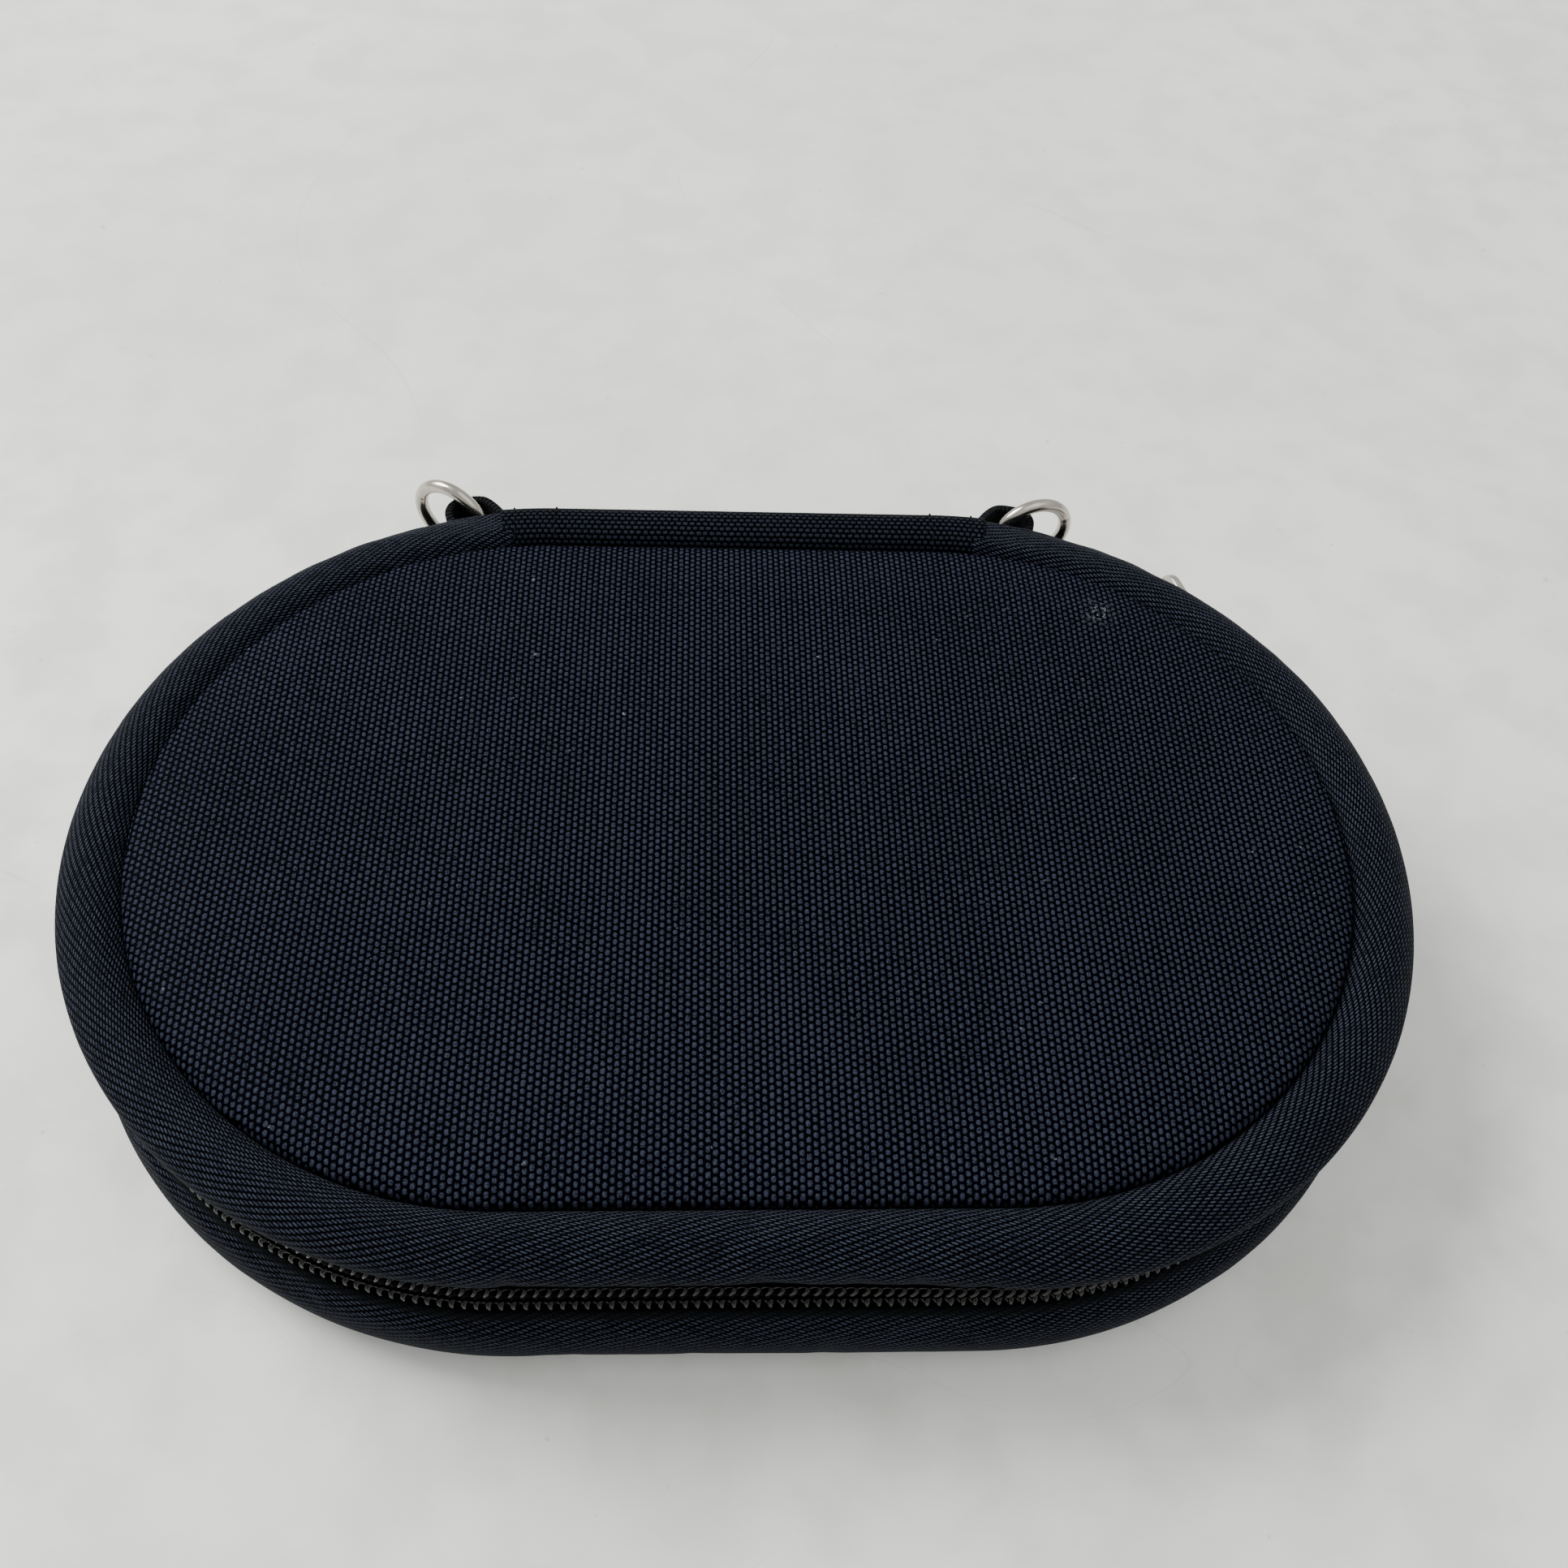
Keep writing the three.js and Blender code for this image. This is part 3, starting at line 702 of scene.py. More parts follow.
class Graph:
    """A material's node graph under construction."""

    def __init__(self, name: str, roughness: float, colour: Colour = (0.02, 0.02, 0.02)) -> None:
        """Start a material with one Principled shader.

        Args:
            name: Name of the material.
            roughness: The shader's roughness.
            colour: The shader's base colour.
        """
        self.material = bpy.data.materials.new(name)
        self.material.use_nodes = True
        self.tree = self.material.node_tree
        self.tree.nodes.clear()
        self.shader = self.tree.nodes.new("ShaderNodeBsdfPrincipled")
        output = self.tree.nodes.new("ShaderNodeOutputMaterial")
        self.tree.links.new(self.shader.outputs[0], output.inputs[0])
        self.shader.inputs["Roughness"].default_value = roughness
        self.shader.inputs["Base Color"].default_value = (*colour, 1)

    def add(self, kind: str, feeds: Optional[dict] = None, **settings: object) -> bpy.types.Node:
        """Add a node, with a socket or a value for each named input.

        Args:
            kind: Type of the node.
            feeds: Socket or value for each input.
            settings: Properties of the node.

        Returns:
            The node.
        """
        node = self.tree.nodes.new(kind)
        for key, value in settings.items():
            setattr(node, key, value)
        for key, value in (feeds or {}).items():
            if isinstance(value, bpy.types.NodeSocket):
                self.tree.links.new(value, node.inputs[key])
            else:
                node.inputs[key].default_value = value
        return node

    def math(self, operation: str, a: Value, b: Value = 0.0, c: Value = 0.0) -> bpy.types.NodeSocket:
        """Add one sum of numbers."""
        return self.add("ShaderNodeMath", {0: a, 1: b, 2: c}, operation=operation).outputs[0]

    def place(self) -> bpy.types.NodeSocket:
        """Object coordinates, in metres."""
        return self.add("ShaderNodeTexCoord").outputs["Object"]

    def cloth(self) -> bpy.types.NodeSocket:
        """Distances along and across the cloth, in metres."""
        return self.add("ShaderNodeUVMap", uv_map="cloth").outputs[0]

    def parts(self, vector: bpy.types.NodeSocket) -> list[bpy.types.NodeSocket]:
        """Split a vector into its three numbers."""
        return list(self.add("ShaderNodeSeparateXYZ", {0: vector}).outputs)

    def noise(self, where: bpy.types.NodeSocket, scale: float, detail: float = 2.0) -> bpy.types.NodeSocket:
        """Smooth noise from 0 to 1, with scale in bumps to the metre."""
        feeds = {"Vector": where, "Scale": scale, "Detail": detail}
        return self.add("ShaderNodeTexNoise", feeds).outputs[0]

    def ramp(
        self, value: Value, low: float, high: float, start: float = 0.0, end: float = 1.0
    ) -> bpy.types.NodeSocket:
        """Turn a range of values smoothly into another range.

        Args:
            value: What to turn.
            low: Value that gives start.
            high: Value that gives end.
            start: Result at low.
            end: Result at high.

        Returns:
            The result, kept within its range.
        """
        feeds = {0: value, 1: low, 2: high, 3: start, 4: end}
        return self.add("ShaderNodeMapRange", feeds, interpolation_type="SMOOTHSTEP").outputs[0]

    def mix(self, share: Value, a: object, b: object) -> bpy.types.NodeSocket:
        """Mix two colours.

        Args:
            share: How much of the second colour shows.
            a: First colour.
            b: Second colour.

        Returns:
            The mixed colour.
        """
        node = self.add("ShaderNodeMix", {0: share}, data_type="RGBA")
        for socket, value in ((node.inputs[6], a), (node.inputs[7], b)):
            if isinstance(value, bpy.types.NodeSocket):
                self.tree.links.new(value, socket)
            else:
                socket.default_value = (*value, 1)
        return node.outputs[2]

    def paint(self, colour: bpy.types.NodeSocket) -> None:
        """Feed the shader's colour."""
        self.tree.links.new(colour, self.shader.inputs["Base Color"])

    def rough(self, value: bpy.types.NodeSocket) -> None:
        """Feed the shader's roughness."""
        self.tree.links.new(value, self.shader.inputs["Roughness"])

    def emboss(self, height: bpy.types.NodeSocket, depth: float, strength: float = 1.0) -> None:
        """Raise the surface by a height from 0 to 1 times a depth in metres."""
        bump = self.add("ShaderNodeBump", {"Height": height, "Distance": depth, "Strength": strength})
        self.tree.links.new(bump.outputs[0], self.shader.inputs["Normal"])

    def set(self, **sockets: float) -> None:
        """Set plain numbers on the shader's own sockets, named with _ for each space."""
        for name, value in sockets.items():
            self.shader.inputs[name.replace("_", " ")].default_value = value


@dataclass(frozen=True)
class Yarns:
    """How the raised yarns of a weave are laid out."""

    pitch: float
    period: float
    shift: float
    long: float
    wide: float
    slope: float = 0.0
    run: float = 0.0
    round: float = 2.6
    wobble: float = 0.12

    def lay(
        self, graph: Graph, along: bpy.types.NodeSocket, across: bpy.types.NodeSocket,
        where: bpy.types.NodeSocket,
    ) -> tuple[bpy.types.NodeSocket, bpy.types.NodeSocket]:
        """Lay yarns in lines, each line shifted along by a share of the period.

        Lines of yarns run at a slope to the along direction. With a run, each yarn crosses its
        line slantwise, as the floats of a twill do.

        Args:
            graph: Material being built.
            along: Distance along the yarns.
            across: Distance across them.
            where: Coordinates that the unevenness is drawn from.

        Returns:
            Height of the yarn from 0 to 1, and a random number for each raised yarn.
        """
        drift = graph.math("SUBTRACT", graph.noise(where, 900.0, 1.0), 0.5)
        tilted = graph.math("MULTIPLY_ADD", along, -self.slope, across)
        lines = graph.math("MULTIPLY", tilted, 1 / self.pitch)
        lines = graph.math("MULTIPLY_ADD", drift, self.wobble, lines)
        line = graph.math("FLOOR", lines)
        side = graph.math("SUBTRACT", graph.math("FRACT", lines), 0.5)
        steps = graph.math("MULTIPLY_ADD", line, self.shift, graph.math("MULTIPLY", along, 1 / self.period))
        if self.run:
            steps = graph.math("MULTIPLY_ADD", lines, -self.run / self.period, steps)
        steps = graph.math("MULTIPLY_ADD", drift, self.wobble * 2, steps)
        step = graph.math("FLOOR", steps)
        reach = graph.math("SUBTRACT", graph.math("FRACT", steps), 0.5)
        wide = graph.math("POWER", graph.math("ABSOLUTE", graph.math("DIVIDE", side, self.wide)), self.round)
        long = graph.math("POWER", graph.math("ABSOLUTE", graph.math("DIVIDE", reach, self.long)), self.round)
        cell = graph.add("ShaderNodeCombineXYZ", {0: line, 1: step}).outputs[0]
        chance = graph.add("ShaderNodeTexWhiteNoise", {0: cell}, noise_dimensions="2D").outputs[0]
        full = graph.math("MULTIPLY_ADD", chance, -0.22, 1.08)
        inside = graph.math("MAXIMUM", graph.math("SUBTRACT", full, graph.math("ADD", wide, long)), 0.0)
        return graph.math("SQRT", inside), chance


OXFORD = Yarns(pitch=0.885 * MM, period=1.067 * MM, shift=0.5, long=0.45, wide=0.43, round=2.7, wobble=0.17)
TWILL = Yarns(pitch=0.92 * MM, period=0.60 * MM, shift=0, long=0.37, wide=0.43, slope=-0.42, run=1.12 * MM)


@dataclass(frozen=True)
class WovenFinish:
    """Cloth of raised pale yarns over dark gaps."""

    name: str
    yarns: Yarns
    thread: Colour
    gap: Colour
    follows_cloth: bool
    depth: float
    roughness: float = 0.6
    specular: float = 0.013
    sheen: float = 0.0
    uneven: float = 0.16
    fold: float = 0.0
    scuffed: bool = False

    def make(self) -> bpy.types.Material:
        """Build the material.

        Returns:
            The material.
        """
        graph = Graph(self.name, self.roughness)
        where = graph.cloth() if self.follows_cloth else graph.place()
        x, y, _ = graph.parts(where)
        along, across = (x, y) if self.follows_cloth else (y, x)
        height, chance = self.yarns.lay(graph, along, across, where)
        fibres = graph.noise(where, 5200.0, 3.0)
        patch = graph.noise(graph.place(), 45.0, 3.0)
        # Random brightness of each yarn; a wide spread, as on the rim, also paints glints (painted
        # highlights) on single yarns.
        level = graph.ramp(chance, 0.0, 1.0, 1 - self.uneven, 1 + self.uneven)
        level = graph.math("MULTIPLY", level, graph.ramp(patch, 0.3, 0.7, 0.85, 1.12))
        level = graph.math("MULTIPLY", level, graph.ramp(fibres, 0.32, 0.68, 0.12, 1.75))
        share = graph.math("MULTIPLY", graph.ramp(height, 0.42, 1.0), level)
        colour = graph.mix(share, self.gap, self.thread)
        # Painted shade and grazing sheen: a flat dark grey-green band over the last fold width, where the hem
        # turns in to the zip gap; the weave relief fades there too.
        if self.fold:
            hem_shade = graph.math("MULTIPLY", graph.ramp(y, -self.fold - 0.9 * MM, -self.fold), 0.85)
            colour = graph.mix(hem_shade, colour, (0.0034, 0.0045, 0.0048))
            height = graph.math("MULTIPLY", height, graph.math("SUBTRACT", 1.0, hem_shade))
        if self.scuffed:
            colour = self.scuff(graph, colour, fibres)
        graph.paint(colour)
        relief = graph.math("MULTIPLY_ADD", fibres, 0.12, height)
        graph.emboss(relief, self.depth)
        graph.set(Specular_IOR_Level=self.specular, Sheen_Weight=self.sheen, Sheen_Roughness=0.45)
        return graph.material

    @staticmethod
    def scuff(
        graph: Graph, colour: bpy.types.NodeSocket, fibres: bpy.types.NodeSocket
    ) -> bpy.types.NodeSocket:
        """Add the small pale rub near the back of the lid, and stray specks.

        Args:
            graph: Material being built.
            colour: Colour so far.
            fibres: Fine noise that breaks the mark up.

        Returns:
            The marked colour.
        """
        feeds = {0: graph.place(), 1: (0.0553, 0.0405, 0.0345)}
        spot = graph.add("ShaderNodeVectorMath", feeds, operation="DISTANCE")
        near = graph.ramp(spot.outputs["Value"], 4.2 * MM, 0.6 * MM)
        broken = graph.ramp(graph.noise(graph.place(), 1700.0, 3.0), 0.55, 0.68)
        specks = graph.ramp(graph.noise(graph.place(), 800.0, 1.0), 0.795, 0.82, 0.0, 0.6)
        mark = graph.math("MAXIMUM", graph.math("MULTIPLY", near, broken), specks)
        mark = graph.math("MULTIPLY", mark, graph.ramp(fibres, 0.4, 0.6))
        return graph.mix(mark, colour, (0.20, 0.215, 0.23))


@dataclass(frozen=True)
class PileFinish:
    """Soft matt stuff with a fine grain: foam, tricot lining or felted board."""

    name: str
    colour: Colour
    grain: float
    depth: float
    roughness: float = 0.95
    sheen: float = 0.03

    def make(self) -> bpy.types.Material:
        """Build the material.

        Returns:
            The material.
        """
        graph = Graph(self.name, self.roughness)
        where = graph.place()
        cells = graph.add("ShaderNodeTexVoronoi", {"Vector": where, "Scale": 1 / self.grain})
        fine = graph.noise(where, 3 / self.grain, 2.0)
        drift = graph.noise(where, 60.0, 3.0)
        pores = graph.ramp(cells.outputs["Distance"], 0.1, 0.7)
        dark = tuple(c * 0.45 for c in self.colour)
        share = graph.math("MULTIPLY", pores, graph.ramp(drift, 0.25, 0.75, 0.75, 1.2))
        graph.paint(graph.mix(share, dark, self.colour))
        graph.emboss(graph.math("MULTIPLY_ADD", fine, 0.5, pores), self.depth)
        graph.set(Specular_IOR_Level=0.05, Sheen_Weight=self.sheen, Sheen_Roughness=0.5)
        return graph.material


@dataclass(frozen=True)
class RibbedFinish:
    """Woven tape with ribs across it, and a finer weave between them."""

    name: str
    colour: Colour
    rib: float
    depth: float
    roughness: float = 0.7

    def make(self) -> bpy.types.Material:
        """Build the material.

        Returns:
            The material.
        """
        graph = Graph(self.name, self.roughness)
        where = graph.cloth()
        along, across, _ = graph.parts(where)
        drift = graph.math("MULTIPLY", graph.noise(where, 700.0, 1.0), 1.2)
        ribs = graph.math("SINE", graph.math("MULTIPLY_ADD", along, 2 * math.pi / self.rib, drift))
        rows = graph.math("SINE", graph.math("MULTIPLY_ADD", across, 2 * math.pi / (self.rib * 0.8), drift))
        height = graph.math("MULTIPLY_ADD", rows, 0.35, ribs)
        share = graph.ramp(height, -1.2, 1.2, 0.1, 1.0)
        fuzz = graph.noise(graph.place(), 5000.0, 3.0)
        share = graph.math("MULTIPLY", share, graph.ramp(fuzz, 0.3, 0.7, 0.5, 1.2))
        graph.paint(graph.mix(share, (0.0015, 0.0015, 0.002), self.colour))
        graph.emboss(height, self.depth)
        graph.set(Specular_IOR_Level=0.08, Sheen_Weight=0.01, Sheen_Roughness=0.4)
        return graph.material


@dataclass(frozen=True)
class MetalFinish:
    """Plated metal with fine rubbing marks."""

    name: str
    colour: Colour
    roughness: float

    def make(self) -> bpy.types.Material:
        """Build the material.

        Returns:
            The material.
        """
        graph = Graph(self.name, self.roughness)
        where = graph.place()
        cloudy = graph.noise(where, 350.0, 4.0)
        streaks = graph.noise(where, 6000.0, 2.0)
        dull = tuple(c * 0.8 for c in self.colour)
        graph.paint(graph.mix(graph.ramp(cloudy, 0.35, 0.65), dull, self.colour))
        graph.rough(graph.ramp(cloudy, 0.3, 0.7, self.roughness * 0.8, self.roughness * 1.5))
        graph.emboss(streaks, 0.004 * MM, 0.5)
        graph.set(Metallic=1.0)
        return graph.material


@dataclass(frozen=True)
class NylonFinish:
    """Glossy moulded or drawn nylon, or waxed thread."""

    name: str
    colour: Colour
    roughness: float
    grain: float = 2500.0
    specular: float = 0.4

    def make(self) -> bpy.types.Material:
        """Build the material.

        Returns:
            The material.
        """
        graph = Graph(self.name, self.roughness)
        where = graph.place()
        worn = graph.noise(where, self.grain, 2.0)
        dark = tuple(c * 0.5 for c in self.colour)
        graph.paint(graph.mix(graph.ramp(worn, 0.35, 0.65), dark, self.colour))
        graph.rough(graph.ramp(worn, 0.3, 0.7, self.roughness * 0.8, self.roughness * 1.3))
        graph.emboss(worn, 0.03 * MM)
        graph.set(Specular_IOR_Level=self.specular)
        return graph.material


class Finish(Enum):
    """Every finish of the case."""

    PANEL = WovenFinish(
        "oxford_panel", OXFORD, (0.0268, 0.0310, 0.0505), (0.0000, 0.0001, 0.0012),
        follows_cloth=False, depth=0.28 * MM, scuffed=True,
    )
    HINGE = WovenFinish(
        "oxford_hinge", OXFORD, (0.0170, 0.0205, 0.0300), (0.0001, 0.0002, 0.0008),
        follows_cloth=True, depth=0.28 * MM,
    )
    # Rim twill: fold sets the width of the band of painted shade along the hem that turns in to the zip gap.
    RIM = WovenFinish(
        "twill_rim", TWILL, (0.0370, 0.0440, 0.0670), (0.0003, 0.0004, 0.0012),
        # uneven=0.5 widens the yarns' random brightness to paint glints on the twill floats, beside their
        # real unevenness.
        follows_cloth=True, depth=0.16 * MM, sheen=0.012, fold=2.3 * MM, uneven=0.5,
    )
    FOAM = PileFinish("padding_foam", (0.012, 0.012, 0.013), 0.6 * MM, 0.15 * MM)
    LINING = PileFinish("tricot_lining", (0.021, 0.022, 0.026), 0.45 * MM, 0.1 * MM, sheen=0.06)
    BOARD = PileFinish("fibre_board", (0.035, 0.032, 0.029), 1.1 * MM, 0.03 * MM, 0.8, 0.0)
    TAPE = RibbedFinish("zip_tape", (0.0045, 0.005, 0.006), 0.55 * MM, 0.06 * MM)
    BINDING = RibbedFinish("binding_tape", (0.010, 0.011, 0.013), 0.8 * MM, 0.1 * MM)
    WEBBING = RibbedFinish("webbing", (0.0065, 0.0075, 0.0105), 0.75 * MM, 0.16 * MM)
    NET = RibbedFinish("pocket_net", (0.015, 0.016, 0.019), 1.3 * MM, 0.2 * MM)
    NYLON = NylonFinish("coil_nylon", (0.0012, 0.0013, 0.0015), 0.11, specular=0.24)
    THREAD = NylonFinish("sewing_thread", (0.0025, 0.003, 0.0045), 0.8, 6000.0, 0.1)
    FRAY = NylonFinish("frayed_yarn", (0.009, 0.010, 0.013), 0.8, 6000.0, 0.1)
    NICKEL = MetalFinish("bright_nickel", (0.50, 0.465, 0.41), 0.19)
    GUNMETAL = MetalFinish("zip_metal", (0.50, 0.48, 0.44), 0.26)


class Workshop:
    """Makes each finish once, and dresses and mounts pieces."""

    def __init__(self) -> None:
        """Start with no finish made."""
        self.made: dict[Finish, bpy.types.Material] = {}

    def material(self, finish: Finish) -> bpy.types.Material:
        """Get a finish's material.

        Args:
            finish: The finish.

        Returns:
            The material, made once.
        """
        if finish not in self.made:
            self.made[finish] = finish.value.make()
        return self.made[finish]

    def dress(self, piece: bpy.types.Object, finish: Finish) -> bpy.types.Object:
        """Give a piece one finish all over.

        Args:
            piece: The piece.
            finish: The finish.

        Returns:
            The same piece.
        """
        piece.data.materials.clear()
        piece.data.materials.append(self.material(finish))
        return piece

    def mount(
        self, piece: bpy.types.Object, body: str, slot: str, replaces: Sequence[str] = ()
    ) -> bpy.types.Object:
        """Fix a piece to a body.

        Args:
            piece: The finished piece.
            body: Body that it moves with.
            slot: The record's material slot; not used.
            replaces: CAD nodes that it stands for.

        Returns:
            The same piece.
        """
        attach(piece, body)
        if replaces:
            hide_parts(*replaces)
        LOG.info("%s: %d faces, on %s", piece.name, len(piece.data.polygons), body)
        return piece


# ---- The two halves ------------------------------------------------------------------------


@dataclass
class Shell:
    """Panel, padded rim, pads, lining and binding of one half."""

    sizes: CaseSizes
    half: Half
    workshop: Workshop
    cloth_wall: float = 0.9 * MM
    groove_rise: float = 3.0 * MM
    dome_width: float = 12 * MM
    dome_drop: float = 1.9 * MM
    seam_ripple: float = 0.16 * MM
    slack_fold: float = 2.7 * MM
    grain: float = 1.6 * MM

    def heights(self, section: Line) -> np.ndarray:
        """Turn insets and rises into insets and heights."""
        return np.array([(inset, self.half.height(rise)) for inset, rise in section], float)

    def rim_line(self) -> list[tuple[float, float]]:
        """Inset and rise of the rim's cover, from the sewn groove to the hem turned in.

        Returns:
            Inset and rise of each corner.
        """
        wide, fold, inset = self.sizes.rim_width, self.half.fold, self.sizes.fold_inset
        if self.half.up < 0:
            fold, inset = fold - self.slack_fold, inset + 0.3 * MM
        bulge = fold * 0.58
        return [
            (wide + 0.1 * MM, self.groove_rise + 0.3 * MM),
            (wide * 0.95, self.groove_rise * 0.55),
            (wide * 0.82, self.groove_rise * 0.22),
            (wide * 0.58, 0.25 * MM),
            (wide * 0.38, self.groove_rise * 0.17),
            (wide * 0.20, self.groove_rise * 0.5),
            (wide * 0.06, bulge * 0.6),
            (0.0, bulge),
            (inset * 0.3, bulge + (fold - bulge) * 0.55),
            (inset * 0.85, fold - 0.7 * MM),
            (inset + 0.3 * MM, fold),
            (inset + 1.0 * MM, fold - 0.1 * MM),
            (inset + 1.3 * MM, fold - 1.2 * MM),
        ]

    def rim(self) -> bpy.types.Object:
        """Make the padded rim's cover.

        Returns:
            The rim.
        """
        name = f"{self.half.name}_rim_cover"
        section = smooth_line(self.heights(self.rim_line()), 0.85 * MM)
        edge = self.sizes.hinge_half
        along = places(edge, self.sizes.oval.length - edge, self.grain)
        ripple = Ripple(self.seam_ripple, 2.2 * MM, seed=self.half.up * 1.3)
        flip = self.half.up < 0
        gape = Gape(1.5 * MM, 0.35 * MM) if flip else None
        piece = sweep(name, self.sizes.oval, section, along, flip, False, ripple, True, gape)
        if not flip:
            mirror_cloth(piece)
        across = line_length(section)
        sewn = (across < 1.4 * MM) | (across > across[-1] - 3.4 * MM)
        held = np.tile(sewn.astype(float), len(along))
        held[: len(section)] = 1
        held[-len(section):] = 1
        settle(piece, held, pressure=3.0, most=0.7 * MM)
        self.keep_above_floor(piece)
        thicken(piece, self.cloth_wall, levels=1)
        self.workshop.dress(piece, Finish.RIM)
        self.workshop.mount(piece, self.half.name, "rim_twill", [f"{self.half.name}_rim"])
        return piece

    @staticmethod
    def keep_above_floor(piece: bpy.types.Object, low: float = 0.1 * MM) -> None:
        """Lift any point that would reach below the surface that the case lies on."""
        for vertex in piece.data.vertices:
            vertex.co.z = max(vertex.co.z, low)

    def panel(self) -> bpy.types.Object:
        """Make the outer panel, curved down to the sewn groove at its edge.

        Returns:
            The panel.
        """
        edge = self.sizes.rim_width + self.sizes.gap
        name = f"{self.half.name}_panel_cloth"
        line = [
            (edge - 0.25 * MM, self.dome_drop + 0.8 * MM),
            (edge + 0.05 * MM, self.dome_drop * 0.9),
            (edge + 1.2 * MM, self.dome_drop * 0.58),
            (edge + self.dome_width * 0.32, self.dome_drop * 0.33),
            (edge + self.dome_width * 0.62, self.dome_drop * 0.12),
            (edge + self.dome_width, 0.0),
            (self.sizes.oval.radius - 2 * MM, 0.0),
        ]
        section = smooth_line(self.heights(line), 1.3 * MM)
        along = places(0, self.sizes.oval.length, self.grain)
        piece = sweep(name, self.sizes.oval, section, along, self.half.up > 0, loop=True)
        self.shape_panel(piece, edge)
        fill_holes_inner(piece)
        thicken(piece, self.cloth_wall)
        self.workshop.dress(piece, Finish.PANEL)
        self.workshop.mount(piece, self.half.name, "panel_fabric", [f"{self.half.name}_panel"])
        return piece

    def shape_panel(self, piece: bpy.types.Object, edge: float) -> None:
        """Pucker the panel along its seam and let the middle lie a little uneven.

        Args:
            piece: The panel.
            edge: Inset of the panel's edge.
        """
        oval = self.sizes.oval
        for vertex in piece.data.vertices:
            x, y, _ = vertex.co
            beyond = max(0.0, abs(x) - oval.half_straight)
            inset = oval.radius - math.hypot(beyond, y)
            turn = math.atan2(y, math.copysign(beyond, x)) * oval.radius + x
            pucker = math.sin(turn / (1.1 * MM)) + math.sin(turn / (1.9 * MM) + 2)
            pucker *= 0.07 * MM * math.exp(-(inset - edge) / (2.5 * MM)) * (inset > edge + 0.6 * MM)
            sag = math.sin(x * 41 + 0.8) * math.sin(y * 57 + 0.4) * 0.22 * MM
            sag += math.sin(x * 93 + y * 61) * 0.08 * MM
            sag *= min(1.0, max(0.0, (inset - edge) / (14 * MM)))
            sag *= smoothstep((math.hypot(beyond, y) - 2 * MM) / (12 * MM))
            lift = pucker + sag
            vertex.co.z += lift if self.half.up < 0 else abs(lift)

    def layers(self) -> None:
        """Make the foam pad, the foam wall and the board of this half."""
        name, sizes, gap = self.half.name, self.sizes, self.sizes.gap
        low, high = 3.1 * MM, sizes.floor_rise
        inset = sizes.rim_width + 2 * gap
        line = [(inset + 1.2 * MM, low), (inset, (low + high) / 2), (inset + 1.2 * MM, high),
                (sizes.oval.radius - 2 * MM, high)]
        along = places(0, sizes.oval.length, 3 * MM)
        section = smooth_line(self.heights(line), 1.6 * MM)
        pad = sweep(f"{name}_foam_pad", sizes.oval, section, along, loop=True)
        fill_holes(pad)
        self.workshop.dress(face_out(pad), Finish.FOAM)
        self.workshop.mount(pad, name, "padding_foam", [f"{name}_foam"])
        wall_low, wall_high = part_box(f"{name}_wall_foam")
        outer = sizes.oval.radius + wall_low.y
        inner = outer + 3.9 * MM
        middle = (wall_low.z + wall_high.z) / 2
        tall = (wall_high.z - wall_low.z) / 2 - 0.1 * MM
        ring = [
            (outer + 1.5 * MM, middle - tall),
            (outer + 0.3 * MM, middle),
            (outer + 1.7 * MM, middle + tall),
            (inner, middle + tall),
            (inner + 0.2 * MM, middle),
            (inner, middle - tall),
        ]
        wall = closed_sweep(f"{name}_wall_pad", sizes.oval, ring, along)
        self.workshop.dress(wall, Finish.FOAM)
        self.workshop.mount(wall, name, "padding_foam", [f"{name}_wall_foam"])
        board = frame["nodes"][f"{name}_board"]
        self.workshop.dress(board, Finish.BOARD)

    def lining(self) -> bpy.types.Object:
        """Make the soft lining: a floor, a round corner and a wall.

        Returns:
            The lining.
        """
        sizes = self.sizes
        inset, low = sizes.lining_inset, sizes.floor_rise + sizes.gap
        top = self.half.fold - sizes.gap
        line = [
            (inset + 0.8 * MM, top),
            (inset + 0.6 * MM, low + 3.4 * MM),
            (inset + 1.5 * MM, low + 1.5 * MM),
            (inset + 3.8 * MM, low + 0.75 * MM),
            (inset + 9 * MM, low + 0.8 * MM),
            (sizes.oval.radius - 2 * MM, low + 0.8 * MM),
        ]
        along = places(0, sizes.oval.length, 2.2 * MM)
        section = smooth_line(self.heights(line), 1.5 * MM)
        name = f"{self.half.name}_lining_cloth"
        piece = sweep(name, sizes.oval, section, along, self.half.up < 0, loop=True)
        for vertex in piece.data.vertices:
            x, y, _ = vertex.co
            beyond = max(0.0, abs(x) - sizes.oval.half_straight)
            depth = sizes.oval.radius - math.hypot(beyond, y) - inset
            wave = math.sin(x * 130 + y * 40) * math.sin(y * 95 - x * 25 + 1)
            wave *= smoothstep((math.hypot(beyond, y) - 2 * MM) / (12 * MM))
            vertex.co.z += self.half.up * 0.3 * MM * wave * min(1.0, max(0.0, depth - 2 * MM) / (9 * MM))
        fill_holes_inner(piece)
        thicken(piece, 0.6 * MM)
        self.workshop.dress(piece, Finish.LINING)
        self.workshop.mount(piece, self.half.name, "lining_fabric", [f"{self.half.name}_lining"])
        radius, straight = sizes.oval.radius - inset, sizes.oval.half_straight
        area = math.pi * radius**2 + 4 * straight * radius
        area += (2 * math.pi * radius + 4 * straight) * (top - low)
        return piece

